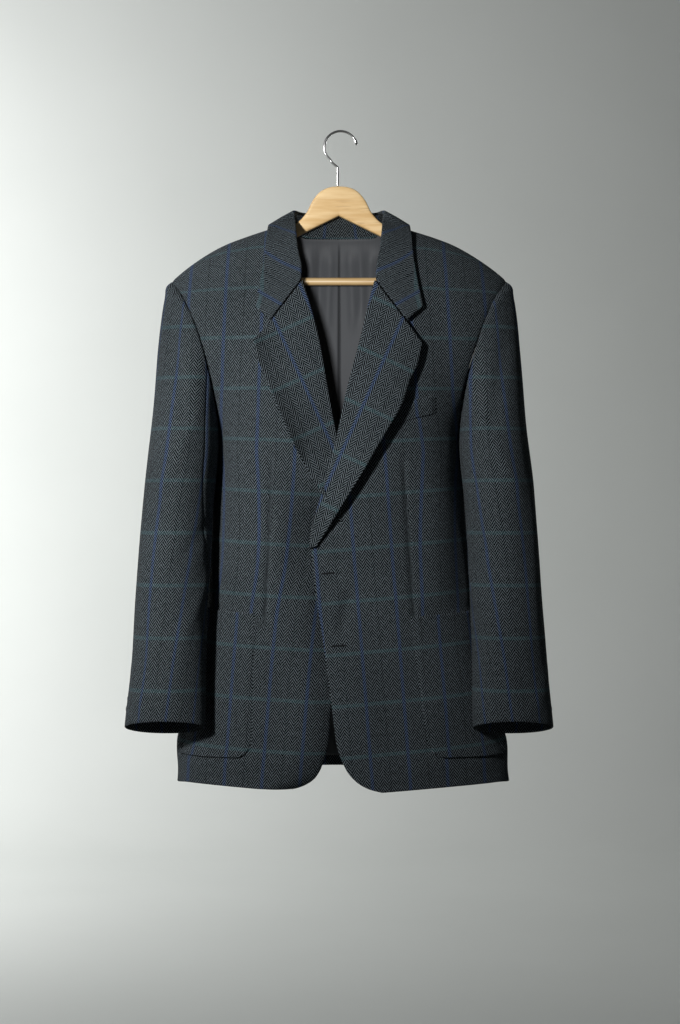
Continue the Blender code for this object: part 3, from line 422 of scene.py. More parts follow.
def herringbone():
    """Places in the cloth and in its windowpane go in; colour and height come out."""
    tree, given, result = group("herringbone with windowpane", "Shader",
                                (("Place", "Vector"), ("Pane", "Vector")),
                                (("Colour", "Color"), ("Height", "Float")))
    place = given.outputs[0]
    u, v = parts(tree, place)
    pane_u, pane_v = parts(tree, given.outputs[1])
    end = value(tree, "FLOOR", value(tree, "DIVIDE", u, YARN))
    centre = value(tree, "MULTIPLY", value(tree, "ADD", end, 0.5), YARN)
    zigzag = value(tree, "PINGPONG", centre, RIB)
    rib = value(tree, "FLOOR", value(tree, "DIVIDE", centre, RIB))
    side = value(tree, "FLOORED_MODULO", rib, 2.0)
    climb = value(tree, "DIVIDE", value(tree, "MULTIPLY_ADD", zigzag, STEEP, v), PITCH)
    phase = value(tree, "MULTIPLY_ADD", side, 0.5, climb)
    wave = value(tree, "MULTIPLY", value(tree, "PINGPONG", phase, 0.5), 2.0)
    hairy = noise(tree, place, 1500.0, 2.0)
    over = step(tree, value(tree, "MULTIPLY_ADD", hairy, HAIR, wave), 0.72, 0.92)
    blue = pane_nearest(tree, pane_u, PANE_ACROSS, BLUE_HALF)
    dark = pane_nearest(tree, value(tree, "ADD", pane_u, PANE_ACROSS / 2), PANE_ACROSS, DARK_HALF)
    teal = pane_nearest(tree, pane_v, PANE_DOWN, TEAL_HALF)
    heather = noise(tree, place, 420.0, 3.0, (1.0, 0.35, 1.0))
    light = mixed(tree, step(tree, heather, 0.34, 0.66), *LIGHT_WARP)
    ground = mixed(tree, value(tree, "MULTIPLY", dark, DARK_SHARE), light, DARK_WEFT)
    warp = mixed(tree, value(tree, "MULTIPLY", blue, BLUE_SHARE), ground, BLUE_WARP)
    weft = mixed(tree, blue, mixed(tree, teal, DARK_WEFT, TEAL_WEFT), BLUE_WEFT)
    colour = mixed(tree, over, weft, warp)
    raised = value(tree, "MULTIPLY", over, rounded(tree, u, YARN))
    sunk = value(tree, "MULTIPLY", rounded(tree, v, PICK), WEFT_ROUND)
    relief = value(tree, "MULTIPLY_ADD", value(tree, "SUBTRACT", 1.0, over), sunk, raised)
    shade = value(tree, "MULTIPLY_ADD", relief, ROUND_SHADE, HOLLOW_SHADE)
    tree.links.new(shaded(tree, colour, shade), result.inputs[0])
    tree.links.new(relief, result.inputs[1])
    return tree


weave = herringbone()
print("nodes in the weave:", len(weave.nodes))

# %% [markdown]
# The other looks come from plain noise. The wool is rough and hairy, the lining is a smooth satin,
# the wood has grain along its length, the buttons are mottled horn, the hook is drawn steel and the
# thread is twisted. Shader numbers that stay the same everywhere sit on the sockets themselves.

# %% Materials
# pairs of colours between which a noise runs
SATIN = ((0.094, 0.099, 0.107), (0.122, 0.128, 0.137))
BEECH = ((0.98, 0.71, 0.375), (0.78, 0.50, 0.210))
HORN = ((0.006, 0.006, 0.006), (0.035, 0.028, 0.022))
STEEL = ((0.50, 0.50, 0.50), (0.66, 0.66, 0.65))
THREAD = ((0.007, 0.008, 0.009), (0.020, 0.022, 0.024))
# colours laid over them in places
LINT, SATIN_SHADE, PORE = (0.16, 0.165, 0.17), (0.062, 0.065, 0.071), (0.40, 0.21, 0.075)


def uv_place(tree, layer="weave"):
    node = tree.nodes.new("ShaderNodeUVMap")
    node.uv_map = layer
    return node.outputs[0]


def object_place(tree):
    return tree.nodes.new("ShaderNodeTexCoord").outputs["Object"]


def make_wool():
    item, tree, shader = material("herringbone wool", 0.93, Specular_IOR_Level=0.04, Sheen_Weight=0.02,
                                  Sheen_Roughness=0.55)
    cloth = uv_place(tree)
    pattern = tree.nodes.new("ShaderNodeGroup")
    pattern.node_tree = weave
    tree.links.new(cloth, pattern.inputs[0])
    tree.links.new(uv_place(tree, "pane"), pattern.inputs[1])
    worn = noise(tree, object_place(tree), 9.0, 4.0)
    colour = shaded(tree, pattern.outputs[0], value(tree, "MULTIPLY_ADD", worn, 0.40, 0.80))
    lint = step(tree, noise(tree, cloth, 330.0, 1.0), 0.735, 0.78)
    paint(tree, shader, mixed(tree, value(tree, "MULTIPLY", lint, 0.25), colour, LINT))
    fibres = noise(tree, cloth, 2600.0, 3.0)
    bump(tree, shader, value(tree, "MULTIPLY_ADD", fibres, 0.8, pattern.outputs[1]), 0.00035, 0.75)
    return item


def make_satin():
    item, tree, shader = material("grey satin lining", 0.55, Specular_IOR_Level=0.22, Sheen_Weight=0.05)
    cloth = uv_place(tree)
    slub = noise(tree, cloth, 60.0, 3.0, (6.0, 0.4, 1.0))
    soft = noise(tree, object_place(tree), 7.0, 2.0)
    colour = mixed(tree, value(tree, "MULTIPLY", soft, 0.35), mixed(tree, slub, *SATIN), SATIN_SHADE)
    paint(tree, shader, colour, value(tree, "MULTIPLY_ADD", slub, 0.14, 0.50))
    bump(tree, shader, noise(tree, cloth, 900.0, 2.0, (1.0, 0.12, 1.0)), 0.00008, 0.6)
    return item


def make_wood():
    item, tree, shader = material("pale beech", 0.42, Specular_IOR_Level=0.45, Coat_Weight=0.18,
                                  Coat_Roughness=0.25)
    where = object_place(tree)
    grain = noise(tree, where, 22.0, 5.0, (0.55, 5.0, 6.0))
    pores = step(tree, noise(tree, where, 240.0, 2.0, (0.10, 1.0, 1.0)), 0.60, 0.72)
    colour = mixed(tree, step(tree, grain, 0.30, 0.72), *BEECH)
    colour = mixed(tree, value(tree, "MULTIPLY", pores, 0.35), colour, PORE)
    paint(tree, shader, colour, value(tree, "MULTIPLY_ADD", grain, 0.18, 0.34))
    bump(tree, shader, grain, 0.0004, 0.25)
    return item


def plain(name, roughness, colours, grain, vary=None, relief=None, **constants):
    """A material that runs between two colours by one noise; roughness and relief can follow it."""
    item, tree, shader = material(name, roughness, **constants)
    cloud = noise(tree, object_place(tree), *grain)
    uneven = value(tree, "MULTIPLY_ADD", cloud, *vary) if vary else None
    paint(tree, shader, mixed(tree, cloud, *colours), uneven)
    if relief:
        bump(tree, shader, cloud, *relief)
    return item


wool, satin, wood = make_wool(), make_satin(), make_wood()
horn = plain("dark horn", 0.30, HORN, (160.0, 4.0), (0.2, 0.22), Specular_IOR_Level=0.5)
steel = plain("drawn steel", 0.22, STEEL, (900.0, 3.0, (1.0, 1.0, 0.15)), (0.16, 0.16), Metallic=1.0)
thread = plain("dark sewing thread", 0.8, THREAD, (1800.0, 2.0), relief=(0.0002, 0.6),
               Specular_IOR_Level=0.05)
print("materials:", [m.name for m in (wool, satin, wood, horn, steel, thread)])

# %% [markdown]
# A sewn piece is a thin shell: an outer grid of points, an inner grid one cloth thickness behind
# it and a rounded fold round the edge. A Solidify modifier would give a square edge, and cloth
# edges are folds, so the shell is made here from its grids.

# %% Shells of cloth
CLOTH, FOLD_OUT = 0.0018, 0.45
cuts = {}


def shell(name, outer, inner, uv, skin, inside=None, pane=None):
    """A closed thin piece of cloth between two grids, with a rounded edge."""
    rows, columns = outer.shape[:2]
    index = np.arange(rows * columns).reshape(rows, columns)
    quads = join(index[:-1, :-1], index[:-1, 1:], index[1:, 1:], index[1:, :-1]).reshape(-1, 4)
    rim = np.concatenate([index[0, :-1], index[:-1, -1], index[-1, :0:-1], index[:0:-1, 0]])
    away = np.zeros_like(outer)
    edges = ((np.s_[0], np.s_[1]), (np.s_[-1], np.s_[-2]),
             (np.s_[:, 0], np.s_[:, 1]), (np.s_[:, -1], np.s_[:, -2]))
    for edge, neighbour in edges:
        path = outer[edge] - outer[neighbour]
        away[edge] += path / np.maximum(np.linalg.norm(path, axis=-1, keepdims=True), 1e-9)
    flat_out, flat_in = outer.reshape(-1, 3), inner.reshape(-1, 3)
    thick = np.linalg.norm(flat_out - flat_in, axis=1, keepdims=True)[rim]
    fold = (flat_out[rim] + flat_in[rim]) / 2 + away.reshape(-1, 3)[rim] * thick * FOLD_OUT
    count = rows * columns
    inner_rim, folded = count + rim, 2 * count + np.arange(len(rim))
    bands = [join(np.roll(rim, -1), rim, folded, np.roll(folded, -1)),
             join(np.roll(folded, -1), folded, inner_rim, np.roll(inner_rim, -1))]
    faces = np.concatenate([quads, *bands, quads[:, ::-1] + count])
    mesh = bpy.data.meshes.new(name)
    mesh.from_pydata(np.concatenate([flat_out, flat_in, fold]).tolist(), [], faces.tolist())
    corner = np.zeros(len(mesh.loops), dtype=np.int32)
    mesh.loops.foreach_get("vertex_index", corner)
    for layer, laid in (("weave", uv), ("pane", uv if pane is None else pane)):
        flat_uv = laid.reshape(-1, 2)
        places = np.concatenate([flat_uv, flat_uv, flat_uv[rim]])
        mesh.uv_layers.new(name=layer).data.foreach_set("uv", places[corner].ravel())
    mesh.materials.append(skin)
    if inside:
        mesh.materials.append(inside)
        mesh.polygons.foreach_set("material_index", np.repeat([0, 1], [len(faces) - len(quads), len(quads)]))
    return place(name, mesh)


def place(name, mesh):
    """An object at the origin with its faces turned outwards and shaded smooth."""
    work = bmesh.new()
    work.from_mesh(mesh)
    bmesh.ops.recalc_face_normals(work, faces=work.faces)
    work.to_mesh(mesh)
    work.free()
    mesh.shade_smooth()
    return add(name, mesh)


def add(name, data):
    """An object in the scene."""
    item = bpy.data.objects.new(name, data)
    bpy.context.scene.collection.objects.link(item)
    return item


def dress(item, slot, *nodes):
    """Hangs a finished piece in the frame in place of its solids."""
    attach(item, "root")
    if nodes:
        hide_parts(*nodes)
    return item


def cut(item, grid):
    """States a cloth piece's flat cut, measured on its own grid."""
    wide, long = lengths(grid, 1)[:, -1].max(), lengths(grid, 0)[-1].max()
    corners = np.cross(grid[1:, 1:] - grid[:-1, :-1], grid[1:, :-1] - grid[:-1, 1:])
    area = min(float(np.linalg.norm(corners, axis=2).sum() / 2), float(wide * long))
    cuts[item.name] = (round(float(wide), 3), round(float(long), 3), round(area, 4))
    return item


print("cloth is", CLOTH * 1000, "mm thick")

# %% [markdown]
# The two fronts come first. Their edge table runs from the neck down the roll line to the break
# and round the hem corner. The weave is laid so that one blue line follows a path read from the
# photo; the dart takes cloth away, so the pattern jumps where it is sewn.

# %% The fronts
HEM_BAND, HEM_ROWS, LOW_ROWS, HIGH_ROWS = -0.93, 14, 70, 45
RISES = np.concatenate([np.linspace(-1.0, HEM_BAND, HEM_ROWS)[:-1],
                        np.linspace(HEM_BAND, 0.0, LOW_ROWS)[:-1],
                        np.linspace(0.0, math.pi / 2, HIGH_ROWS)])
UP = np.flatnonzero(RISES >= 0.0)
FRONT_SHARES = spread(84)
# the column of a table that belongs to each front
COLUMN = {1: 1, -1: 2}
# height, edge of the left front, edge of the right front
FRONT_EDGES = (
    (-0.1320, 0.0780, -0.0780), (-0.1610, 0.0735, -0.0735), (-0.1900, 0.0655, -0.0655),
    (-0.2283, 0.0500, -0.0510), (-0.3062, 0.0310, -0.0290), (-0.3840, 0.0110, -0.0150),
    (-0.4487, -0.0027, -0.0030), (-0.5169, -0.0206, 0.0150), (-0.5906, -0.0372, 0.0310),
    (-0.6370, -0.0335, 0.0270), (-0.7260, -0.0207, 0.0120), (-0.8217, -0.0083, -0.0115),
    (-0.8656, -0.0028, -0.0150), (-0.9019, 0.0108, -0.0250), (-0.9186, 0.0250, -0.0350),
    (-0.9290, 0.0430, -0.0500), (-0.9345, 0.0640, -0.0680),
)
# height, place to the side of one blue line on the left front, the same on the right front
BLUE_LINES = (
    (-0.1740, 0.0420, -0.1030), (-0.3700, 0.0540, -0.1115), (-0.4617, 0.0630, -0.1140),
    (-0.6112, 0.0744, -0.1270), (-0.6890, 0.0810, -0.1400), (-0.9240, 0.0997, -0.1610),
)
TEAL_ROW, TEAL_TILT = {1: -0.5905, -1: -0.5895}, {1: 0.083, -1: 0.070}
# the place to the side about which teal rows tilt, the height where that starts and how far it eases in
TILT_X, TILT_TOP, TILT_EASE = 0.07, -0.30, 0.2
# above this height the cloth lies back, so its weave is measured along it
LIES_BACK = -0.24
# height, place to the side of the dart on the left front, on the right front, cloth taken in
DART = ((-0.4600, 0.0880, -0.0926, 0.000), (-0.5300, 0.0930, -0.0955, 0.008),
        (-0.6000, 0.0972, -0.0985, 0.014), (-0.6900, 0.1040, -0.1030, 0.017))
# from place and height, to place and height, half width, height of the crease
FRONT_CREASES = {
    1: ((0.030, -0.610, 0.075, -0.900, 0.024, -0.0030), (0.120, -0.430, 0.135, -0.660, 0.020, 0.0030),
        (0.165, -0.470, 0.175, -0.680, 0.016, -0.0035), (0.010, -0.640, 0.060, -0.660, 0.010, 0.0016),
        (0.100, -0.900, 0.210, -0.896, 0.012, 0.0022), (0.130, -0.250, 0.160, -0.400, 0.020, -0.0020),
        (-0.001, -0.694, 0.001, -0.722, 0.004, -0.0030), (0.014, -0.650, 0.004, -0.715, 0.010, -0.0042),
        (-0.012, -0.608, -0.004, -0.650, 0.009, -0.0028), (0.112, -0.684, 0.200, -0.677, 0.006, -0.0022)),
    -1: ((-0.050, -0.500, -0.080, -0.880, 0.026, -0.0035), (-0.130, -0.420, -0.150, -0.680, 0.022, 0.0030),
         (-0.165, -0.460, -0.172, -0.660, 0.014, -0.0030), (-0.020, -0.560, -0.060, -0.720, 0.018, 0.0022),
         (-0.110, -0.900, -0.215, -0.897, 0.012, 0.0020), (-0.140, -0.240, -0.165, -0.380, 0.018, -0.0020),
         (-0.040, -0.765, -0.018, -0.812, 0.007, -0.0030), (-0.130, -0.680, -0.210, -0.674, 0.006, -0.0022)),
}
# the dart's groove: depth, half width, top and foot; below its mouth no cloth is taken in
DART_DEEP, DART_HALF, DART_TOP, DART_FOOT, DART_MOUTH = 0.0046, 0.0022, -0.455, -0.702, -0.700
# height, half width and depth of the swells beside the sleeve: at the underarm and under the cuff
SIDE_SWELLS = ((-0.485, 0.050, 0.0025), (-0.868, 0.036, 0.0108))
FRONT_SEED, FRONT_RIPPLE = 3, (0.045, 0.0006)
# the right front's roll: its reach, its depth, its fade past the edge above it, the height of its top
ROLL_REACH, ROLL_DEPTH, ROLL_FADE, ROLL_TOP = 0.060, 0.022, 0.03, -0.47


def front_edge(rise, hand):
    """Turn at which a front begins: its edge, roll line or neckline."""
    turn, upper = np.zeros_like(rise), rise >= 0.0
    for _ in range(14):
        height = body(turn, rise, -1)[..., 2]
        side = along(FRONT_EDGES, height, COLUMN[hand])
        half = np.where(upper, yoke_half(np.sin(np.maximum(rise, 0.0))), along(BODY, height, 1))
        turn = np.arcsin((side - np.where(upper, 0.0, along(BODY, height, 4))) / half)
    return turn


def panel_end(rise, face):
    """Turn at which a panel ends: the side seam, or the armhole above the underarm."""
    share = np.sin(np.maximum(rise, 0.0))
    fullness = 0.5 * (1.0 - share) if face > 0 else 0.0
    side = BODY[0][1] + (SHOULDER_HALF - BODY[0][1]) * share ** 1.7 * (1.0 + fullness)
    return np.where(rise <= 0.0, math.pi / 2, np.arcsin(np.minimum(1.0, side / yoke_half(share))))


def seam_dip(grid, row_ends, column_ends, width=0.0035, depth=0.0011):
    """How far the cloth sinks beside its sewn edges."""
    dip = np.zeros(grid.shape[:2])
    for axis, ends in ((0, row_ends), (1, column_ends)):
        walked = lengths(grid, axis)
        total = np.take(walked, [-1], axis=axis)
        for end in ends:
            dip += depth * bell(walked if end == 0 else total - walked, width)
    return dip


def side_swell(z, shares):
    """Cloth pushed out beside the sleeve: a little at the underarm, more under the cuff."""
    near = smooth((shares - 0.80) / 0.20)
    return near * sum(out * bell(z - height, width) for height, width, out in SIDE_SWELLS)


def upward(grid):
    """The weave's place up a panel: its height, or the distance walked where it lies back."""
    z = grid[..., 2]
    start = UP[0]
    walked = lengths(grid[start:], 0)
    steep = np.diff(z[start:], axis=0, prepend=z[start:start + 1])
    flat = np.diff(walked, axis=0, prepend=walked[:1])
    climb = np.where(z[start:] < LIES_BACK, steep, flat)
    return np.concatenate([z[:start], z[start] + np.cumsum(climb, axis=0)])


def from_teal(x, z, up, hand):
    """How far up from a tilted teal row a place of a front lies."""
    return up - TEAL_ROW[hand] - TEAL_TILT[hand] * (x * hand - TILT_X) * smooth((TILT_TOP - z) / TILT_EASE)


def front_weave(grid, hand):
    """Places of a front's points in the woven cloth and in its windowpane, in metres."""
    x, z = grid[..., 0], grid[..., 2]
    column, walked = COLUMN[hand], lengths(grid, 1)
    line = along(BLUE_LINES, z[:, 0], column) * hand
    reached = np.array([np.interp(a, b * hand, c) + min(0.0, a - b[0] * hand)
                        for a, b, c in zip(line, x, walked)])
    dart = along(DART, z, column) * hand
    taken = along(DART, z, 3) * smooth((z - DART_MOUTH) / 0.004) * smooth((x * hand - dart) / 0.002)
    u = walked - reached[:, None] + taken
    v = from_teal(x, z, upward(grid), hand)
    level = (x - along(BLUE_LINES, z, column)) * hand + taken
    return join(u * hand, v), join(level * hand, v)


def inward_roll(x, z):
    """How far the right front falls back towards the edge of the left front that lies over it."""
    edge = np.minimum(along(FRONT_EDGES, z, 1), along(FRONT_EDGES, z, 2))
    near = np.clip((x - edge + ROLL_REACH) / ROLL_REACH, 0.0, 1.0)
    return ROLL_DEPTH * near ** 2 * (1.0 - smooth((x - edge) / ROLL_FADE)) * smooth((ROLL_TOP - z) / 0.10)


fronts = {}
for hand, side in SIDES:
    begin, end = front_edge(RISES, hand)[:, None], hand * panel_end(RISES, -1)[:, None]
    grid = body(begin + (end - begin) * FRONT_SHARES, RISES[:, None], -1)
    x, z = grid[..., 0], grid[..., 2]
    grid[..., 1] -= lap(x, z, hand)
    normals = normals_of(grid, hand)
    relief = creases(FRONT_CREASES[hand], x, z) * smooth((hand * x + 0.03) / 0.05)
    wave = ripple(x, z, FRONT_SEED + hand, *FRONT_RIPPLE)
    relief += wave - seam_dip(grid, (-1,), (-1,)) + side_swell(z, FRONT_SHARES)
    if hand < 0:
        relief -= inward_roll(x, z)
    groove = DART_DEEP * bell(x - along(DART, z, COLUMN[hand]), DART_HALF)
    relief -= groove * smooth((DART_TOP - z) / 0.03) * smooth((z - DART_FOOT) / 0.012)
    outer = grid + relief[..., None] * normals
    normals = normals_of(outer, hand)
    fronts[hand] = (grid, normals, outer)
    uv, pane = front_weave(grid, hand)
    item = shell(f"front-{side}", outer, outer - CLOTH * normals, uv, wool, satin, pane)
    cut(dress(item, "wool", f"front_{side}"), grid)
print("points of a front:", outer.shape)

# %% [markdown]
# The back hangs plainly in two halves. Nobody sees it in the photo, so it gets the same weave, a
# centre seam, and a few long soft folds like those a hanging back always has.

# %% The back and its lining
BACK_SHARES = spread(72)
LINING_SHARES = np.concatenate([np.linspace(0.0, 0.02, 12)[:-1], np.linspace(0.02, 1.0, 90)])
NECK_SHARE, BACK_NECK, BACK_ROW = 0.35, -0.1462, -0.5880
# the lining: its thickness, its first row above the hem, its depth and the share of its folds that is kept
LINING_CLOTH, LINING_ROW, LINING_DEEP, FOLD_SHARE = 0.0007, 6, 0.0036, 0.8
# the lining's centre groove: half width and depth
GROOVE_HALF, GROOVE_DEEP = 0.0017, 0.0080
# turn and height from, turn and height to, half width in turn, height of the fold
BACK_CREASES = ((0.35, -0.30, 0.30, -0.86, 0.10, 0.0032), (0.75, -0.42, 0.66, -0.90, 0.12, -0.0036),
                (1.10, -0.40, 1.02, -0.78, 0.09, 0.0034), (0.12, -0.55, 0.16, -0.92, 0.07, -0.0026))
LINING_CREASES = ((0.050, -0.155, 0.075, -0.27, 0.022, 0.0030), (0.115, -0.155, 0.125, -0.25, 0.024, -0.0040),
                  (0.180, -0.155, 0.170, -0.27, 0.026, 0.0042), (0.250, -0.155, 0.230, -0.30, 0.030, -0.0046),
                  (0.330, -0.160, 0.290, -0.40, 0.036, 0.0044), (0.430, -0.180, 0.370, -0.60, 0.045, -0.0040),
                  (0.200, -0.280, 0.140, -0.52, 0.050, -0.0025), (0.550, -0.220, 0.500, -0.75, 0.060, 0.0040))


def back_grid(hand, shares):
    """Points of half the back, with its neckline dipping at the centre, and their turns."""
    neck = np.minimum(1.0, shares / NECK_SHARE)
    level = BACK_NECK + (ridge(NECK_HALF) - BACK_NECK) * smooth((neck - 0.6) / 0.4)
    top = np.arcsin(np.minimum(1.0, (level - UNDERARM) / (ridge(NECK_HALF * neck) - UNDERARM)))
    rises = np.where(RISES[:, None] <= 0.0, RISES[:, None], RISES[:, None] * top / (math.pi / 2))
    end = panel_end(rises, 1)
    neck_turn = math.asin(NECK_HALF / yoke_half(1.0))
    beyond = (shares - NECK_SHARE) / (1.0 - NECK_SHARE)
    set_in = np.where(shares <= NECK_SHARE, neck_turn * neck, neck_turn + (end - neck_turn) * beyond)
    even = shares * end
    turns = even + (set_in - even) * smooth(np.maximum(RISES[:, None], 0.0) / (math.pi / 2))
    return body(hand * turns, rises, 1), turns


backs = {}
for hand, side in SIDES:
    grid, turns = back_grid(hand, BACK_SHARES)
    z = grid[..., 2]
    normals = normals_of(grid, -hand)
    relief = creases(BACK_CREASES, turns, z) + ripple(grid[..., 0], z, 11 + hand, 0.05, 0.0007)
    relief = relief * smooth((-0.17 - z) / 0.08) - seam_dip(grid, (-1,), (0, -1)) + side_swell(z, BACK_SHARES)
    outer = grid + relief[..., None] * normals
    normals = normals_of(outer, -hand)
    backs[hand] = (grid, normals)
    uv = join((lengths(grid, 1) - PANE_ACROSS / 2) * hand, upward(grid) - BACK_ROW)
    item = shell(f"back-{side}", outer, outer - CLOTH * normals, uv, wool, wool)
    cut(dress(item, "wool", f"back_{side}"), grid)
    grid, turns = back_grid(hand, LINING_SHARES)
    z, fallen, inward = grid[..., 2], lengths(grid[::-1], 0)[::-1], lengths(grid, 1)
    swell = creases(LINING_CREASES, turns - (0.015 if hand > 0 else 0.0), z)
    swell += ripple(grid[..., 0], z, 21 + hand, 0.03, 0.0006)
    swell += GROOVE_DEEP * (1.0 - bell(inward, GROOVE_HALF))
    sunk = LINING_DEEP + (swell - swell.min()) * smooth((fallen - 0.002) / 0.035) * FOLD_SHARE
    uv = join(inward * hand, upward(grid))[LINING_ROW:]
    lined = (grid - sunk[..., None] * normals_of(grid, -hand))[LINING_ROW:]
    facing = normals_of(lined, -hand)
    item = shell(f"back-lining-{side}", lined, lined - LINING_CLOTH * facing, uv, satin)
    cut(dress(item, "lining", f"lining_{side}"), lined)
print("cut pieces so far:", list(cuts))

# %% [markdown]
# A sleeve is a ring that leaves the armhole and hangs as an oval pipe, swinging forward. Its top
# and under pieces meet in two seams. The blue line drifts backwards down the arm as it does in
# cloth cut straight and hung bent. Round the sleeve head the weave is measured along level lines,
# because the columns of the grid fan out there.

# %% The sleeves
SLEEVE_TOP, CUFF, CUFF_TILT = -0.4564, -0.8430, 0.0125
CAP_ROWS, ARM_ROWS, TWIST = 30, 84, math.radians(65.0)
HEAD, LEVELS = CAP_ROWS - 1, 80
# how far the head bulges, and the shares of its curve that leave the armhole and meet the arm
BULGE, LEAVE, MEET = 0.0156, 0.07, 0.40
# angles of the two seams round the sleeve in degrees, and the height of a teal row
FRONT_SEAM, BACK_SEAM, SLEEVE_ROW = 135, 270, -0.5720
# the armhole seam's dip: depth and half width; the roll past it: height, distance and half width
HEAD_DIP, HEAD_ROLL = (0.0014, 0.0045), (0.0022, 0.012, 0.008)
# height, centre to the side, half width, centre to the back, half depth
SLEEVE = ((-0.4564, 0.2207, 0.0485, -0.030, 0.075), (-0.5100, 0.2255, 0.0490, -0.041, 0.070),
          (-0.6100, 0.2313, 0.0503, -0.056, 0.060), (-0.7224, 0.2362, 0.0516, -0.069, 0.052),
          (-0.8400, 0.2422, 0.0558, -0.078, 0.043))
# height, angles round the sleeve of two neighbouring blue lines, in degrees from the outer side to the front
SLEEVE_LINES = ((-0.2000, 74.0, 128.0), (-0.2800, 73.0, 134.0), (-0.4600, 69.0, 138.5),
                (-0.5255, 66.0, 132.0), (-0.5914, 61.5, 125.0), (-0.6480, 59.3, 116.0),
                (-0.7446, 56.5, 102.0), (-0.8290, 52.0, 94.0))
# angle and height from, angle and height to, half width in degrees, height of the crease
SLEEVE_CREASES = ((60, -0.30, 100, -0.43, 14, -0.0030), (120, -0.40, 60, -0.52, 11, 0.0022),
                  (150, -0.56, 80, -0.64, 13, -0.0020), (170, -0.62, 110, -0.72, 12, 0.0026),
                  (30, -0.50, 45, -0.70, 14, 0.0020), (100, -0.70, 70, -0.80, 14, -0.0022),
                  (260, -0.45, 300, -0.62, 16, 0.0035), (300, -0.56, 250, -0.70, 14, -0.0035),
                  (210, -0.50, 250, -0.75, 14, 0.0030), (20, -0.76, 60, -0.82, 12, 0.0015))


def sleeve_section(angle, height):
    """Points round the sleeve at a height."""
    side, half, back, depth = (along(SLEEVE, height, column) for column in (1, 2, 3, 4))
    return join(side + half * np.cos(angle), back - depth * np.sin(angle), height + 0 * angle)


def sleeve_grid(hand):
    """Points of a sleeve as if it were the left one: rows from armhole to cuff, columns round it."""
    front, back = fronts[hand][0][UP, -1], backs[hand][0][UP, -1]
    ring = np.concatenate([front[::-1], back[1:-1]]) * (hand, 1.0, 1.0)
    angles = math.pi * np.arange(len(ring)) / (len(UP) - 1)
    heads = sleeve_section(angles, np.full(len(ring), SLEEVE_TOP))
    outward = join(np.cos(angles), -np.sin(angles), np.zeros(len(ring)))
    bulge = BULGE * (0.5 + 0.5 * np.cos(angles))[:, None] ** 1.5
    lead = ring + (heads - ring) * LEAVE + outward * bulge
    tail = heads - (heads - ring) * MEET
    s = spread(CAP_ROWS)[:, None, None]
    cap = (1 - s) ** 3 * ring + 3 * (1 - s) ** 2 * s * lead + 3 * (1 - s) * s ** 2 * tail + s ** 3 * heads
    s = spread(ARM_ROWS)[1:, None]
    turned = angles + TWIST * smooth(s)
    end = CUFF + CUFF_TILT * np.sin(turned)
    arm = sleeve_section(turned, SLEEVE_TOP + (end - SLEEVE_TOP) * s)
    all_angles = np.concatenate([np.broadcast_to(angles, (CAP_ROWS, len(ring))), turned])
    return np.concatenate([cap, arm]), all_angles


def level_place(columns):
    """How far along a level line each point of the sleeve head lies from the first of the columns."""
    points = np.moveaxis(columns, 1, 0)
    levels = np.linspace(points[0, HEAD, 2], points[0, 0, 2], LEVELS)
    lines = np.array([[np.interp(levels, p[HEAD::-1, 2], p[HEAD::-1, k]) for k in (0, 1)] for p in points])
    walked = lengths(np.moveaxis(lines, 2, 0), 1)
    return np.array([np.interp(p[:HEAD, 2], levels, w) for p, w in zip(points, walked.T)]).T


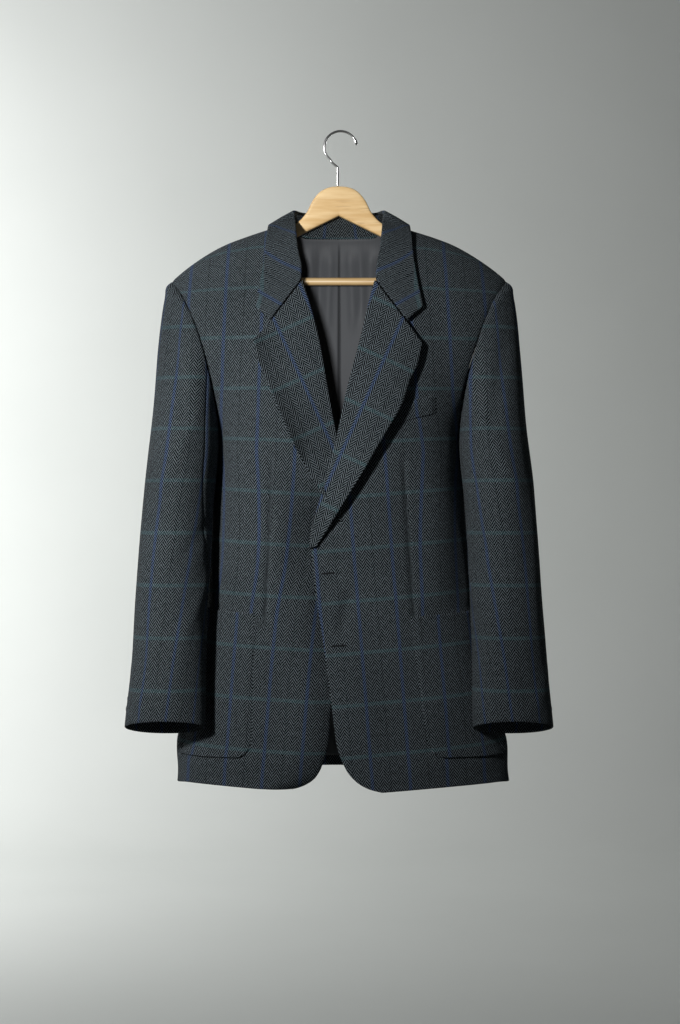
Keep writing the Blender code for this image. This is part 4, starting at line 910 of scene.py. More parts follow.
sleeves = {}
for hand, side in SIDES:
    grid, angles = sleeve_grid(hand)
    ring_grid = np.concatenate([grid, grid[:, :1]], axis=1)
    ring_angles = np.concatenate([angles, angles[:, :1] + 2 * math.pi], axis=1)
    around = np.roll(grid, -1, axis=1) - np.roll(grid, 1, axis=1)
    normals = unit(np.cross(around, np.gradient(grid, axis=0)))
    z, degrees = grid[..., 2], np.degrees(angles) % 360.0
    relief = np.zeros_like(z)
    for a0, z0, a1, z1, width, height in SLEEVE_CREASES:
        on = np.clip((z - z0) / (z1 - z0), -1.0, 2.0)
        off = (degrees - (a0 + (a1 - a0) * on) + 180.0) % 360.0 - 180.0
        relief += crease(off, on, width, height, 0.35)
    relief += ripple(np.cos(angles) * 0.05 + np.sin(angles) * 0.03, z, 31 + hand, 0.03, 0.0005)
    walked = lengths(grid, 0)
    relief -= HEAD_DIP[0] * bell(walked, HEAD_DIP[1])
    relief += HEAD_ROLL[0] * bell(walked - HEAD_ROLL[1], HEAD_ROLL[2]) * (np.cos(angles) > 0.2)
    height, width, out = SIDE_SWELLS[0]
    relief += out * bell(degrees - 180.0, 40.0) * bell(z - height, width)
    outer = grid + relief[..., None] * normals
    flip = np.array([hand, 1.0, 1.0])
    sleeves[hand] = (grid * flip, normals * flip, outer * flip)
    arc = lengths(ring_grid * (1.0, 1.0, 0.0), 1)
    whole = arc[:, -1]
    count, steps = grid.shape[1], len(UP) - 1
    front_cut, back_cut = (round(seam / 180 * steps) for seam in (FRONT_SEAM, BACK_SEAM))
    ahead, behind = level_place(ring_grid[:, :steps + 1]), level_place(ring_grid[:, :steps:-1])[:, :0:-1]
    spots = []
    for column in (1, 2):
        line = np.radians(along(SLEEVE_LINES, z[:, 0], column))
        turns = np.where(line < ring_angles[:, 0], 1, 0)
        line = line + turns * 2 * math.pi
        reached = np.array([np.interp(a, b, c) for a, b, c in zip(line, ring_angles, arc)])
        spots.append(reached - turns * whole)
    gauge = PANE_ACROSS / ((spots[1] - spots[0]) % whole)[:, None]
    own_lead, own_gauge = (np.interp(z[:HEAD], z[::-1, 0], row[::-1]) for row in (spots[0], gauge[:, 0]))
    pieces = (("top", np.arange(back_cut, count + front_cut + 1) % count, steps + 1),
              ("under", np.arange(front_cut, back_cut + 1), front_cut))
    for part, columns, first in pieces:
        laid, lead, pull = arc[:, :-1].copy(), np.tile(spots[0][:, None], count), np.tile(gauge, count)
        laid[:, front_cut + 1:] -= whole[:, None] if part == "top" else 0.0
        laid[:HEAD, first:steps + 1] = ahead[:, first:]
        laid[:HEAD, steps + 1:] = (0.0 if part == "top" else whole[HEAD]) - behind
        lead[:HEAD, first:], pull[:HEAD, first:] = own_lead[:, first:], own_gauge[:, first:]
        u = laid - lead
        pane_u = u * pull
        if part == "under":
            pane_u[:HEAD, steps + 1:] += whole[HEAD] * (gauge[HEAD] - pull[:HEAD, steps + 1:])
        facing, piece = (layer[:, columns] for layer in sleeves[hand][1:])
        piece = piece - seam_dip(piece, (), (0, -1), 0.003, 0.0008)[..., None] * facing
        uv, pane = (join(across * hand, z - SLEEVE_ROW)[:, columns] for across in (u, pane_u))
        # the sleeve's inside is wool, not satin: at the cuff that is the turned-up hem, and further up it is
        # a darker stand-in, painted shade for the dim inside of the sleeve
        item = shell(f"sleeve-{part}-{side}", piece, piece - CLOTH * facing, uv, wool, wool, pane)
        cut(dress(item, "wool", f"sleeve_{part}_{side}"), piece)
print("sleeve points:", grid.shape)

# %% [markdown]
# A lapel is the front turned out on itself: it leaves the edge, curls round the roll line and
# lies back on the chest. In section that is half a circle and a long soft slope, the same for the
# collar's fall, so one function draws both.

# %% Lapels
BREAK_RISE, GORGE, LAPEL_SECTIONS, LAPEL_STEPS = -0.305, math.radians(43.0), 110, 40
# share of the way up from the break, edge of the left lapel and its height, the same for the right
LAPEL_EDGES = (
    (0.00, -0.0310, -0.5900, 0.0255, -0.5900), (0.14, -0.0075, -0.5522, 0.0030, -0.5580),
    (0.27, 0.0110, -0.5209, -0.0180, -0.5240), (0.40, 0.0302, -0.4893, -0.0370, -0.4920),
    (0.54, 0.0494, -0.4533, -0.0520, -0.4640), (0.66, 0.0659, -0.4238, -0.0647, -0.4360),
    (0.77, 0.0811, -0.3961, -0.0813, -0.3937), (0.89, 0.0935, -0.3625, -0.0943, -0.3619),
    (0.96, 0.1060, -0.3370, -0.1060, -0.3335), (1.00, 0.1118, -0.3110, -0.1115, -0.3080),
)
# a point on the lapel's blue line, its lean from upright in degrees, and a teal line's place along it
LAPEL_WEAVE = {1: (0.0845, -0.2841, 24.5, -0.1978), -1: (-0.0886, -0.2802, 24.8, -0.1600)}
LAPEL_LIFT, LAPEL_CURL = {1: 0.0160, -1: 0.0140}, {1: 0.0, -1: 0.0160}
# half the thickness of two layers, the roll's radius, its distance from the edge, and its points
LAYER_HALF, ROLL, ROLL_GAP, ROLL_POINTS = 0.0011, 0.00225, 0.0003, 11


def turnover(width, roll, edge_height, belly, flat_steps):
    """Sections of rolled-over cloth: places across and heights, and which way is up."""
    curl = np.radians(np.linspace(0.0, 180.0, ROLL_POINTS))
    share = spread(flat_steps + 1)[1:]
    rolled = (len(width), ROLL_POINTS)
    flat = 2 * roll + (edge_height[:, None] - 2 * roll) * share ** 1.3
    flat = flat + belly[:, None] * np.sin(math.pi * share)
    across = [np.broadcast_to(-ROLL_GAP - roll * np.sin(curl), rolled), width[:, None] * share]
    heights = [np.broadcast_to(roll - roll * np.cos(curl), rolled), flat]
    middle = join(*(np.concatenate(halves, axis=1) for halves in (across, heights)))
    tangent = np.gradient(middle, axis=1)
    tangent[:, 0] = (-1.0, 0.0)
    return middle, unit(join(-tangent[..., 1], tangent[..., 0]))


lapels = {}
for hand, side in SIDES:
    rises = np.linspace(BREAK_RISE, GORGE, LAPEL_SECTIONS)
    start = body(front_edge(rises, hand), rises, -1)[:, [0, 2]]
    share = spread(len(rises))
    reach = np.linalg.norm(start - start[0], axis=1)
    reach /= reach[-1]
    first = 1 if hand > 0 else 3
    edge = join(along(LAPEL_EDGES, reach, first), along(LAPEL_EDGES, reach, first + 1))
    width = np.linalg.norm(edge - start, axis=1)
    direction = (edge - start) / width[:, None]
    stand_off = smooth(share / 0.20) * (1.0 - 0.45 * smooth((share - 0.65) / 0.30))
    lift = 2 * ROLL + (LAPEL_LIFT[hand] - 2 * ROLL) * stand_off + 0.001
    middle, up = turnover(width, ROLL, lift, 0.0015 * share, LAPEL_STEPS)
    curled = LAPEL_CURL[hand] * smooth((share - 0.30) / 0.25)[:, None]
    faces = []
    for half in (LAYER_HALF, -LAYER_HALF):
        w, h = np.moveaxis(middle + up * half, -1, 0)
        x, z = np.moveaxis(start[:, None] + direction[:, None] * w[..., None], -1, 0)
        wave = ripple(x, z, 41 + hand, 0.03, 0.0004)
        h = h + curled * np.clip(w / width[:, None], 0.0, 1.0) ** 6
        faces.append(off_front(x, z, hand, h - 0.001 + wave * smooth(w / 0.02)))
    x0, z0, lean, row = LAPEL_WEAVE[hand]
    cosine, sine = math.cos(math.radians(lean)), math.sin(math.radians(lean))
    x, z = (faces[0][..., 0] - x0) * hand, faces[0][..., 2] - z0
    uv = join((x * cosine - z * sine) * hand, x * sine + z * cosine - row)
    item = shell(f"lapel-{side}", *faces, uv, wool)
    cut(dress(item, "wool", f"lapel_{side}"), faces[0])
    lapels[hand] = faces[0]
print("lapel points:", faces[0].shape)

# %% [markdown]
# The collar has a stand that rises from the neck seam and a fall that folds over it. Stations
# from one gorge round the neck to the other carry a seam point, a fold point and an edge point;
# a smooth curve through them gives as many sections as the picture needs.

# %% Collar
COLLAR_ROLL, COLLAR_LIFT, COLLAR_SECTIONS, COLLAR_STEPS = 0.0018, 0.0050, 221, 30
# the notch: share of the way to the collar's edge, distance along the lapel's top, gap above it
NOTCH_SHARE, NOTCH_FAR, NOTCH_GAP = 0.66, 0.0682, 0.0034
STAND, STAND_END = 0.002, 4
# degrees of rise of the neck seam, fold to the side and its height, outer edge to the side and its height
COLLAR_FRONT = (
    (43.0, 0.0500, -0.2283, 0.1152, -0.2585), (52.0, 0.0545, -0.2010, 0.1118, -0.2410),
    (60.5, 0.0588, -0.1800, 0.1072, -0.2175), (68.5, 0.0612, -0.1610, 0.1036, -0.1940),
    (76.0, 0.0628, -0.1450, 0.1014, -0.1730), (83.5, 0.0640, -0.1290, 0.1000, -0.1540),
    (90.0, 0.0645, -0.1165, 0.0975, -0.1345),
)
# the fold and the outer edge at the centre back: distance behind and height
FOLD_BACK, EDGE_BACK = (0.0470, -0.1135), (0.0640, -0.1600)
# a point on the collar's blue line, the column of points it is read on, and the bias in degrees
COLLAR_LINE, LINE_COLUMN, COLLAR_BIAS = (-0.0837, -0.1930), 25, 7.0


def gorge_point(hand, distance, out):
    """A point of the collar's end, just above the lapel's top edge."""
    roll = body(front_edge(np.array([GORGE]), hand), GORGE, -1)[0, [0, 2]]
    peak = np.array(LAPEL_EDGES[-1][1:3] if hand > 0 else LAPEL_EDGES[-1][3:5])
    direction = unit(peak - roll)
    above = np.array([-direction[1], direction[0]]) * hand
    x, z = roll + direction * distance + above * NOTCH_GAP
    return off_front(x, z, hand, out)


def collar_side(hand):
    """Stations of one half from the gorge to near the centre back: seam, inner side, fold, edge."""
    grid, normals = fronts[hand][0][:, 0], fronts[hand][1][:, 1]
    rows = []
    for degrees, fold_x, fold_z, edge_x, edge_z in COLLAR_FRONT:
        rise = math.radians(degrees)
        seam, out = (np.array([np.interp(rise, RISES, p[:, k]) for k in range(3)]) for p in (grid, normals))
        if degrees == 90.0:
            fold, edge = np.array([hand * fold_x, 0.0, fold_z]), np.array([hand * edge_x, 0.0, edge_z])
        else:
            fold = off_front(hand * fold_x, fold_z, hand, 0.0)
            edge = off_front(hand * edge_x, edge_z, hand, COLLAR_LIFT)
        rows.append(np.concatenate([seam, out, fold, edge]))
    rows[0][6:9] = gorge_point(hand, 0.0, -0.001)
    top, facing = backs[hand][0][-1], backs[hand][1][-2]
    last = COLLAR_FRONT[-1]
    for share in (0.28, 0.20, 0.10):
        column = int(round(share * (len(BACK_SHARES) - 1)))
        angle = math.atan2(top[column, 1] / top[0, 1], abs(top[column, 0]) / NECK_HALF)
        cosine, sine = math.cos(angle), math.sin(angle)
        ends = [(hand * x * cosine, back[0] * sine, z + (back[1] - z) * sine)
                for x, z, back in ((*last[1:3], FOLD_BACK), (*last[3:5], EDGE_BACK))]
        rows.append(np.concatenate([top[column], facing[column], *ends]))
    return rows


centre = np.concatenate([backs[1][0][-1, 0], backs[1][1][-2, 0], (0.0, *FOLD_BACK), (0.0, *EDGE_BACK)])
stations = np.array(collar_side(-1) + [centre] + collar_side(1)[::-1])
bends = {}
for end, hand in ((0, -1), (-1, 1)):
    fold, edge = stations[end, 6:9], stations[end, 9:12]
    bends[hand] = gorge_point(hand, NOTCH_FAR, COLLAR_LIFT) - (fold + (edge - fold) * NOTCH_SHARE)
fine = refine(stations, COLLAR_SECTIONS)
last = (len(stations) - 1) * spread(COLLAR_SECTIONS)
near_right, near_left = (np.clip(1.0 - far, 0.0, 1.0)[:, None] for far in (last, last[::-1]))
bend = near_right * bends[-1] + near_left * bends[1]
seam, seam_out, fold, edge = (fine[:, k:k + 3] for k in (0, 3, 6, 9))
reach = edge - fold
width = np.linalg.norm(reach, axis=1)
towards = reach / width[:, None]
collar_out = unit(np.cross(np.gradient((fold + edge) / 2, axis=0), towards))
flat_edge, belly = np.full(COLLAR_SECTIONS, COLLAR_ROLL), np.full(COLLAR_SECTIONS, 0.0005)
middle, up = turnover(width, COLLAR_ROLL, flat_edge, belly, COLLAR_STEPS)
faces = []
for half in (LAYER_HALF, -LAYER_HALF):
    w, h = np.moveaxis(middle + up * half, -1, 0)
    share = w / width[:, None]
    kink = np.where(share < NOTCH_SHARE, share / NOTCH_SHARE, (1.0 - share) / (1.0 - NOTCH_SHARE))
    spot = fold[:, None] + towards[:, None] * w[..., None] + collar_out[:, None] * h[..., None]
    faces.append(spot + bend[:, None] * kink[..., None])
collar_face, half_way = faces[0], COLLAR_SECTIONS // 2
arcs = lengths(collar_face, 0)
run = arcs[:, LINE_COLUMN:LINE_COLUMN + 1]
near = np.argmin(np.linalg.norm(collar_face[:, LINE_COLUMN][:, [0, 2]] - COLLAR_LINE, axis=1))
across, from_back = np.maximum(w, 0.0), np.abs(arcs - arcs[half_way])
cosine, sine = math.cos(math.radians(COLLAR_BIAS)), math.sin(math.radians(COLLAR_BIAS))
u = cosine * from_back + sine * across
v = cosine * across - sine * from_back
uv = join((u - u[near, LINE_COLUMN]) * np.sign(run - run[half_way]), v - 0.030)
item = shell("collar-fall", *faces, uv * (1.10, 1.45), wool, pane=uv * 0.83)
cut(dress(item, "wool", "collar_fall"), collar_face)

inside = slice(STAND_END, COLLAR_SECTIONS - STAND_END)
tall = np.linalg.norm(fold - seam, axis=1, keepdims=True)
lifted = (fold - seam) / tall
leaning = unit(collar_out - np.sum(collar_out * lifted, axis=1, keepdims=True) * lifted)
share = spread(12)[None, :, None]
stand = []
for layer in (0.5, -0.5):
    foot = seam + 0.0002 * lifted - (0.5 - layer) * STAND * seam_out
    head = fold + layer * STAND * leaning - 0.0004 * lifted
    stand.append((foot[:, None] * (1 - share) + head[:, None] * share)[inside])
up_it = tall[inside] * share[..., 0]
uv = join(np.broadcast_to(run[inside], up_it.shape), up_it)
item = shell("collar-stand", *stand, uv, wool)
cut(dress(item, "wool", "collar_stand"), stand[0])
print("collar sections:", COLLAR_SECTIONS)

# %% [markdown]
# Patch pockets and the chest welt lie on the fronts. Each is drawn on the front's own form and
# moved out, with a soft swell in the middle, because a pocket sewn flat still bags a little.

# %% Pockets and welt
# inner edge of the pocket at its top and bottom, and height of the top at its inner end
POCKETS = {1: (0.0998, 0.1262, -0.6895), -1: (-0.1180, -0.1235, -0.6855)}
# height of the foot, rise of the mouth, turn of the outer edge, and share that a round corner takes
POCKET_FOOT, POCKET_RISE, POCKET_END, CORNER = -0.8860, 0.008, math.radians(84.0), 0.13
# places of the pocket's blue line above and below, and the lower height and the distance between them
POCKET_LINE = {1: (0.1371, 0.1562), -1: (-0.1405, -0.1594)}
LINE_FOOT, LINE_TALL = -0.9165, 0.2305
# ends of the welt's lower edge and of its upper edge
WELT = (((0.0600, -0.4245), (0.1349, -0.4054)), ((0.0640, -0.3985), (0.1347, -0.3807)))
POCKET_CLOTH, WELT_CLOTH, WELT_GAUGE = 0.0016, 0.0014, 1.06


def front_folds(x, z, hand):
    """The folds of a front, which show through what is sewn on it."""
    return creases(FRONT_CREASES[hand], x, z) + ripple(x, z, FRONT_SEED + hand, *FRONT_RIPPLE)


for hand, side in SIDES:
    top_x, bottom_x, top_z = POCKETS[hand]
    a, b = np.meshgrid(spread(70), spread(76) ** 1.25)
    start = CORNER * (1.0 - np.sqrt(1.0 - np.clip(1.0 - b / CORNER, 0.0, 1.0) ** 2))
    a = start + a * (1.0 - 2.0 * start)
    z = POCKET_FOOT + (top_z - POCKET_FOOT) * b + POCKET_RISE * a * b
    shift, half = along(BODY, z, 4), along(BODY, z, 1)
    begin = np.arcsin((bottom_x + (top_x - bottom_x) * b - shift) / half)
    turn = begin + (hand * POCKET_END - begin) * a
    x = half * np.sin(turn) + shift
    base = join(x, -along(BODY, z, 2) * hollow(np.sin(turn)) - lap(x, z, hand), z)
    proud = 0.0004 + 0.0010 * smooth(a / 0.06) + 0.0026 * bell(b, 0.06)
    proud += 0.0020 * bell(1.0 - b, 0.02)
    swell = 0.0018 * np.sin(math.pi * np.clip(a, 0, 1)) ** 0.6 * np.sin(math.pi * (0.15 + 0.85 * b)) ** 0.8
    raised = proud + np.maximum(swell, 0.0) + front_folds(x, z, hand)
    outer = base + raised[..., None] * normals_of(base, hand)
    above, below = POCKET_LINE[hand]
    line = below + (above - below) * (z[:, :1] - LINE_FOOT) / LINE_TALL
    walked = lengths(base, 1)
    reached = np.array([np.interp(p * hand, q * hand, r) for p, q, r in zip(line[:, 0], x, walked)])
    uv = join((walked - reached[:, None]) * hand, from_teal(x, z, z, hand))
    item = shell(f"pocket-{side}", outer, outer - POCKET_CLOTH * normals_of(outer, hand), uv, wool)
    cut(dress(item, "wool", f"pocket_{side}"), outer)

a, b = np.meshgrid(spread(60), spread(22))
low, high = (near + (far - near) * a[..., None] for near, far in np.array(WELT))
x, z = np.moveaxis(low * (1 - b[..., None]) + high * b[..., None], -1, 0)
proud = 0.0004 + 0.0012 * smooth((1.0 - a) / 0.1) * smooth((1.0 - b) / 0.3)
swell = 0.0006 * np.sin(math.pi * a) * b
outer = off_front(x, z, 1, proud + swell + front_folds(x, z, 1))
uv = join((x - along(BLUE_LINES, z, 1)) * WELT_GAUGE, from_teal(x, z, z, 1))
item = shell("chest-welt", outer, outer - WELT_CLOTH * normals_of(outer, 1), uv, wool)
cut(dress(item, "wool", "chest_welt"), outer)
print("pieces laid on the fronts: 2 pockets and a welt")

# %% [markdown]
# The hanger is shaped wood: rounded sections along a crown and two arms. The hidden arms are kept
# plain. The hook is a wire swept along its bent line.

# %% Hanger
# distance to the side, height of the top, height of the underside
CROWN = ((0.000, -0.0776, -0.1203), (0.010, -0.0783, -0.1252), (0.020, -0.0812, -0.1302),
         (0.029, -0.0872, -0.1346), (0.038, -0.0985, -0.1390), (0.046, -0.1145, -0.1430),
         (0.056, -0.1265, -0.1479), (0.067, -0.1345, -0.1533), (0.078, -0.1398, -0.1588))
# places of the arm's sections to the side; from the block on, the arm comes down to hold the bar
ARM = (0.090, 0.110, 0.132, 0.155, 0.172, 0.1838, 0.184, 0.196, 0.204, 0.208)
BLOCK, ARM_TALL, BLOCK_FOOT, ARM_END = 0.184, 0.023, -0.2225, 0.006
# distance under the shoulder seam, half thickness of the wood, and how round its corners are
UNDER_SEAM, WOOD_HALF, WOOD_ROUND = 0.0046, 0.0065, 0.42
BAR_RADIUS, BAR_Z, BAR_HALF = 0.0055, -0.2135, 0.1837
# the hook: half thickness of the wire, radius of the bow, its centre to the side, the stem and its top
WIRE, BOW, BOW_X, STEM_X, STEM_TOP = 0.0017, 0.0215 + 0.0017, 0.0020, -0.0020, -0.0520


def round_angles(count):
    """Angles evenly round a ring."""
    return np.linspace(0.0, 2 * math.pi, count, endpoint=False)


def squarish(wave, power):
    """A wave with flatter tops, for a ring with rounded corners."""
    return np.sign(wave) * np.abs(wave) ** power


def tube(name, rings, skin):
    """A closed round piece through rings of points."""
    rings = np.array(rings)
    count, sides = rings.shape[:2]
    index = np.arange(count * sides).reshape(count, sides)
    after = np.roll(index, -1, axis=1)
    quads = join(after[:-1], index[:-1], index[1:], after[1:]).reshape(-1, 4).tolist()
    mesh = bpy.data.meshes.new(name)
    mesh.from_pydata(rings.reshape(-1, 3).tolist(), [], quads + [index[0].tolist(), index[-1, ::-1].tolist()])
    mesh.materials.append(skin)
    return place(name, mesh)


def hanger_stations():
    """Side, top and underside along one half of the hanger."""
    rows = refine(np.array(CROWN), 80).tolist()
    for side in ARM:
        slope = (ridge(side + 1e-4) - ridge(side - 1e-4)) / 2e-4
        top = ridge(side) - UNDER_SEAM * math.hypot(1.0, slope)
        end = ARM_END if side == ARM[-1] else 0.0
        rows.append([side, top - end, top - ARM_TALL if side < BLOCK else BLOCK_FOOT + end])
    return rows


half_rows = hanger_stations()
angle = round_angles(40)
y = WOOD_HALF * squarish(np.cos(angle), WOOD_ROUND)
rings = []
for side, top, bottom in [[-s, t, b] for s, t, b in half_rows[:0:-1]] + half_rows:
    z = (top + bottom) / 2 + (top - bottom) / 2 * squarish(np.sin(angle), WOOD_ROUND)
    rings.append(join(np.full(len(angle), side), y, z))
dress(tube("hanger-wood", rings, wood), "wood", "hanger_body")

angle = round_angles(36)
y, z = BAR_RADIUS * np.cos(angle), BAR_Z + BAR_RADIUS * np.sin(angle)
rings = [join(np.full(len(angle), x), y, z) for x in np.linspace(-BAR_HALF, BAR_HALF, 24)]
dress(tube("trouser-bar", rings, wood), "wood", "hanger_bar")

bow = np.radians(np.linspace(232.0, 8.0, 60))
bow_path = join(BOW_X + BOW * np.cos(bow), WIRE - BOW + BOW * np.sin(bow))
stem = np.array([(STEM_X, -0.0772), (STEM_X, -0.0672), (STEM_X, STEM_TOP)])
ease = np.array([0.2, 0.4, 0.6, 0.8])
neck = join(STEM_X + (bow_path[0, 0] - STEM_X) * smooth(ease), STEM_TOP + (bow_path[0, 1] - STEM_TOP) * ease)
path = refine(np.concatenate([stem, neck, bow_path[::6], bow_path[-1:]]), 160)
angle = round_angles(16)
rings = []
for left, ((x, z), (tx, tz)) in zip(range(len(path) - 1, -1, -1), zip(path, running(path))):
    bead = 1.0 + 0.45 * smooth((14 - left) / 6)
    tip = math.sqrt(max(0.05, 1.0 - max(0.0, 1.0 - left / 4.0) ** 2))
    thick = WIRE * bead * tip
    rings.append(join(x - tz * thick * np.cos(angle), thick * np.sin(angle), z + tx * thick * np.cos(angle)))
dress(tube("hook-wire", rings, steel), "steel", "hanger_hook")
print("hanger sections:", len(half_rows) * 2 - 1)

# %% [markdown]
# Buttons are turned discs with a raised rim and four holes' worth of thread in the middle. A
# turned profile swept round gives the disc.

# %% Buttons
# share of the radius and share of the thickness, from the middle of the underside to that of the top
PROFILE = ((0.02, 0.0), (0.70, 0.0), (0.90, 0.12), (1.0, 0.40), (0.99, 0.70), (0.93, 0.95),
           (0.86, 1.0), (0.78, 0.94), (0.70, 0.78), (0.60, 0.70), (0.30, 0.67), (0.02, 0.67))
BUTTON_GAP, BUTTON_THICK, BUTTON_WELL = 0.0003, 0.0032, 0.70
FRONT_RADIUS, CUFF_RADIUS = 0.0100, 0.0075
# angle of the cuff buttons round the sleeve in degrees, distance of the first from the edge, their spacing
CUFF_ANGLE, CUFF_FIRST, CUFF_SPACING = 275.0, 0.026, 0.017
button_faces = []


def button(kind, which, seat, outward, radius):
    """A button on its seat; keeps where its thread will lie."""
    outward = unit(outward)
    sideways = unit(np.cross(outward, (0.0, 0.0, 1.0)))
    upright = np.cross(sideways, outward)
    angle = round_angles(40)[:, None]
    spokes = np.cos(angle) * sideways + np.sin(angle) * upright
    rings = [seat + outward * (BUTTON_GAP + BUTTON_THICK * high) + spokes * radius * wide
             for wide, high in PROFILE]
    item = tube(f"{kind}-button-{which}", rings, horn)
    dress(item, "buttons", f"button_{kind}_{which}".replace("-", "_"))
    top = seat + outward * (BUTTON_GAP + BUTTON_THICK * BUTTON_WELL)
    button_faces.append((f"{kind}-{which}", radius, top, sideways, upright, outward))


for level, x, z in (("upper", 0.0130, -0.6310), ("lower", 0.0020, -0.7282)):
    seat = off_front(x, z, -1, 0.0)
    button("front", level, seat, off_front(x, z, -1, 1.0) - seat, FRONT_RADIUS)
for hand, side in SIDES:
    grid, normals, outer = sleeves[hand]
    column = round(CUFF_ANGLE / 180.0 * (len(UP) - 1))
    walked = lengths(grid[::-1], 0)[:, column]
    for number in range(3):
        nearest = np.argmin(np.abs(walked - (CUFF_FIRST + CUFF_SPACING * number)))
        row = len(grid) - 1 - int(nearest)
        button("cuff", f"{side}-{number + 1}", outer[row, column], normals[row, column], CUFF_RADIUS)
print("buttons:", len(button_faces))

# %% [markdown]
# Every stitch is the same short thread, so Geometry Nodes lays them: it walks a path, puts one
# stitch at each step and turns it the way the path says. Running stitches lie along the path;
# buttonhole stitches lie across it.

# %% A stitch layer
STITCH_INPUTS = (("Geometry", "Geometry"), ("Spacing", "Float"), ("Length", "Float"), ("Thickness", "Float"),
                 ("Material", "Material"))


def stitch_tree():
    """Walks a path and lays one stretched ball at each step, along the direction called lie."""
    tree, given, result = group("stitches along a path", "Geometry", STITCH_INPUTS, STITCH_INPUTS[:1])
    make = tree.nodes.new
    curve, spaced = make("GeometryNodeMeshToCurve"), make("GeometryNodeResampleCurve")
    instances, ball = make("GeometryNodeInstanceOnPoints"), make("GeometryNodeMeshUVSphere")
    lie, turn = make("GeometryNodeInputNamedAttribute"), make("FunctionNodeAlignRotationToVector")
    size, real = make("ShaderNodeCombineXYZ"), make("GeometryNodeRealizeInstances")
    coat = make("GeometryNodeSetMaterial")
    spaced.mode, lie.data_type, turn.axis = "LENGTH", "FLOAT_VECTOR", "X"
    lie.inputs["Name"].default_value = "lie"
    for label, number in (("Segments", 8), ("Rings", 6), ("Radius", 0.5)):
        ball.inputs[label].default_value = number
    joints = [(given.outputs["Geometry"], curve.inputs[0]), (curve.outputs[0], spaced.inputs[0]),
              (given.outputs["Spacing"], spaced.inputs["Length"]),
              (spaced.outputs[0], instances.inputs["Points"]),
              (ball.outputs[0], instances.inputs["Instance"]),
              (lie.outputs[0], turn.inputs["Vector"]), (turn.outputs[0], instances.inputs["Rotation"]),
              (given.outputs["Length"], size.inputs[0]), (given.outputs["Thickness"], size.inputs[1]),
              (given.outputs["Thickness"], size.inputs[2]), (size.outputs[0], instances.inputs["Scale"]),
              (instances.outputs[0], real.inputs[0]), (real.outputs[0], coat.inputs[0]),
              (given.outputs["Material"], coat.inputs["Material"]), (coat.outputs[0], result.inputs[0])]
    for start, end in joints:
        tree.links.new(start, end)
    return tree


stitches = stitch_tree()
socket_ids = {s.name: s.identifier for s in stitches.interface.items_tree if s.in_out == "INPUT"}


def sew(name, paths, lies, spacing, length, thickness):
    """Lays stitches along one or more paths and returns them as a plain mesh."""
    mesh = bpy.data.meshes.new(name + " path")
    points, edges = [], []
    for path in paths:
        edges += [(len(points) + k, len(points) + k + 1) for k in range(len(path) - 1)]
        points += [tuple(p) for p in path]
    mesh.from_pydata(points, edges, [])
    directions = np.concatenate(lies).astype(np.float32).ravel()
    mesh.attributes.new("lie", "FLOAT_VECTOR", "POINT").data.foreach_set("vector", directions)
    guide = add(name + " path", mesh)
    layer = guide.modifiers.new("stitches", "NODES")
    layer.node_group = stitches
    settings = {"Spacing": spacing, "Length": length, "Thickness": thickness, "Material": thread}
    for label, given in settings.items():
        layer[socket_ids[label]] = given
    bpy.context.view_layer.update()
    sewn = bpy.data.meshes.new_from_object(guide.evaluated_get(bpy.context.evaluated_depsgraph_get()))
    sewn.name = name
    bpy.data.objects.remove(guide)
    return dress(place(name, sewn), "wool")


print("stitch inputs:", list(socket_ids))

# %% [markdown]
# Buttonholes are a slit with thread wrapped round its edge. On a dark wool they show as a small
# raised oval with a darker line in it.

# %% Buttonholes and button thread
# spacing, length and thickness of the stitches round a buttonhole and in a button
HOLE_STITCH, BUTTON_STITCH = (0.00042, 0.0015, 0.00045), (0.0006, 0.0011, 0.0006)
HOLE_LENGTH, HOLE_END, HOLE_HALF, HOLE_OUT, HOLE_ROUND = 0.021, 0.0010, 0.0006, 0.0003, 0.4
# name, ends to the side, height
BUTTONHOLES = (("upper", -0.0256, -0.0048, -0.6290), ("lower", -0.0085, 0.0105, -0.7265))


def buttonhole(name, centre, direction, outward):
    """Stitches side by side round a slit, fanning out at its ends."""
    across = np.cross(outward, direction)
    long = HOLE_LENGTH / 2 - HOLE_END
    path, lies = [], []
    for turn in np.linspace(0.0, 2 * math.pi, 60):
        on, off = math.cos(turn), math.sin(turn)
        spot = centre + direction * long * squarish(on, HOLE_ROUND)
        path.append(spot + across * HOLE_HALF * squarish(off, HOLE_ROUND) + outward * HOLE_OUT)
        lies.append(across * off + direction * on * 0.35)
    return sew(name, [np.array(path)], [np.array(lies)], *HOLE_STITCH)


def on_left_front(x, z):
    """A point of the left front's cloth as it hangs, with its outward direction."""
    normals, outer = fronts[1][1:]
    where = np.argmin((outer[..., 0] - x) ** 2 + (outer[..., 2] - z) ** 2)
    row, column = np.unravel_index(where, outer.shape[:2])
    return outer[row, column] + normals[row, column] * 0.0001, normals[row, column]


for label, x0, x1, z in BUTTONHOLES:
    spot, outward = on_left_front((x0 + x1) / 2, z)
    direction = np.array([1.0, 0.0, 0.06])
    direction = unit(direction - outward * np.dot(direction, outward))
    buttonhole(f"buttonhole-{label}", spot, direction, outward)
for label, radius, top, sideways, upright, outward in button_faces:
    hole = radius * 0.22
    paths = []
    for row in (-1, 1):
        ends = [top + sideways * hole * side + upright * hole * row + outward * 0.0002 for side in (-1, 1)]
        paths.append(np.linspace(*ends, 4))
    sew(f"button-thread-{label}", paths, [running(p) for p in paths], *BUTTON_STITCH)
print("buttonholes:", len(BUTTONHOLES))

# %% [markdown]
# Prick stitches hold the edges flat a few millimetres in. They are the same colour as the ground,
# so they read only as small dents and specks.

# %% Prick stitches
PRICK_STITCH, PRICK_OUT, BREAK_ROWS = (0.0060, 0.0013, 0.0004), 0.0002, np.flatnonzero(RISES < -0.34)


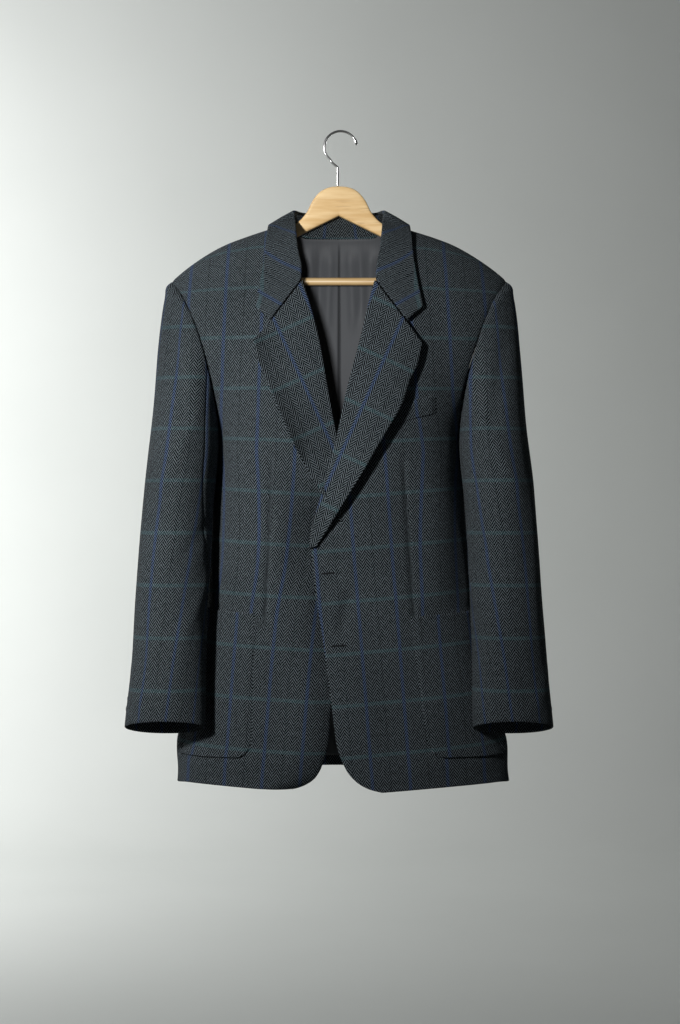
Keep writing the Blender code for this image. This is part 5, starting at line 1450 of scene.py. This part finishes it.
def inset_path(grid, sign, column):
    """A path down one column of a grid, just proud of it."""
    return grid[:, column] + normals_of(grid, sign)[:, column] * PRICK_OUT


paths = [inset_path(lapels[hand], hand, -4) for hand in (1, -1)] + [inset_path(collar_face, 1, -4)]
paths += [inset_path(fronts[hand][2], hand, 1)[BREAK_ROWS] for hand in (1, -1)]
sew("edge-stitches", paths, [running(p) for p in paths], *PRICK_STITCH)

# %% [markdown]
# A plain pale sweep stands far behind, so a camera behind the jacket still sees it. A key lamp from
# the upper left gives the photo's dark right side, and a rear lamp lights the back. Light linking
# keeps both off the lining, the bar and the collar stand; a lamp near the camera lights only those,
# as light that bounces about inside the neck does. One more lamp brightens the wall.

# %% Floor, wall and light
# the sweep: its near end, where it bends up, the radius of the bend, its floor, its top and half width
NEAR, BEND, BEND_RADIUS, FLOOR, WALL_TOP, SWEEP_HALF = -5.0, 3.6, 0.9, -1.65, 4.5, 7.0
WALL = ((0.60, 0.62, 0.60), (0.68, 0.70, 0.68))
ROOM, ROOM_STRENGTH = (0.80, 0.84, 0.84, 1.0), 0.055


def sweep():
    """A floor that bends up into a wall."""
    profile = [(NEAR, FLOOR), (BEND, FLOOR)]
    profile += [(BEND + BEND_RADIUS * math.sin(a), FLOOR + BEND_RADIUS * (1.0 - math.cos(a)))
                for a in np.radians(np.linspace(5.0, 90.0, 18))]
    profile += [(BEND + BEND_RADIUS, WALL_TOP)]
    points = [(x, y, z) for y, z in profile for x in (-SWEEP_HALF, SWEEP_HALF)]
    faces = [(2 * k, 2 * k + 1, 2 * k + 3, 2 * k + 2) for k in range(len(profile) - 1)]
    mesh = bpy.data.meshes.new("pale-sweep")
    mesh.from_pydata(points, [], faces)
    mesh.shade_smooth()
    mesh.materials.append(plain("pale painted wall", 0.9, WALL, (1.3, 4.0), Specular_IOR_Level=0.2))
    screen = add("pale-sweep", mesh)


def lamp(name, kind, spot, target, power):
    """A lamp at a spot, turned to a target."""
    light = bpy.data.lights.new(name, kind)
    light.energy = power
    item = add(name, light)
    item.location = spot
    item.rotation_euler = (Vector(target) - Vector(spot)).to_track_quat("-Z", "Y").to_euler()
    return item


def spot_lamp(name, spot, target, cone, radius, power, receivers):
    """A soft-edged spot that lights only some pieces."""
    item = lamp(name, "SPOT", spot, target, power)
    item.data.spot_size, item.data.spot_blend = math.radians(cone), 1.0
    item.data.shadow_soft_size = radius
    lit = bpy.data.collections.new("lit by " + name)
    for receiver in receivers:
        lit.objects.link(receiver)
    item.light_linking.receiver_collection = lit


sweep()
lined = [o for o in bpy.data.objects if o.name.startswith(("back-lining", "trouser-bar", "collar-stand"))]
outside = [o for o in bpy.data.objects if o.type == "MESH" and o not in lined and o.name != "pale-sweep"]
spot_lamp("key", (-1.25, -2.20, 0.20), (-0.30, 0.0, -0.36), 40.0, 0.10, 280.0, outside)
spot_lamp("front", (-0.27, -3.15, -0.50), (0.0, 0.05, -0.25), 11.0, 0.10, 270.0, lined)
spot_lamp("rear", (0.70, 3.30, 0.00), (0.0, 0.0, -0.50), 40.0, 0.40, 150.0, outside)
lamp("wall light", "AREA", (-3.4, 2.2, 0.3), (-1.8, 4.4, -0.6), 195.0).data.size = 2.0
world = bpy.data.worlds.new("pale room")
bpy.context.scene.world = world
world.use_nodes = True
for socket, given in zip(world.node_tree.nodes["Background"].inputs, (ROOM, ROOM_STRENGTH)):
    socket.default_value = given

# %% [markdown]
# The camera stands level with the middle of the jacket, as the photo's did. The flat cut of each cloth piece
# is printed at the end.

# %% Camera and sizes
lens = bpy.data.cameras.new("camera")
lens.lens, lens.sensor_width = 70.0, 36.0
camera = add("camera", lens)
camera.location, camera.rotation_euler = (0.0014, -2.85, -0.5434), (math.pi / 2, 0.0, 0.0)
bpy.context.scene.camera = camera
bpy.context.scene.view_settings.view_transform = "Standard"
print("cut sizes:", cuts)
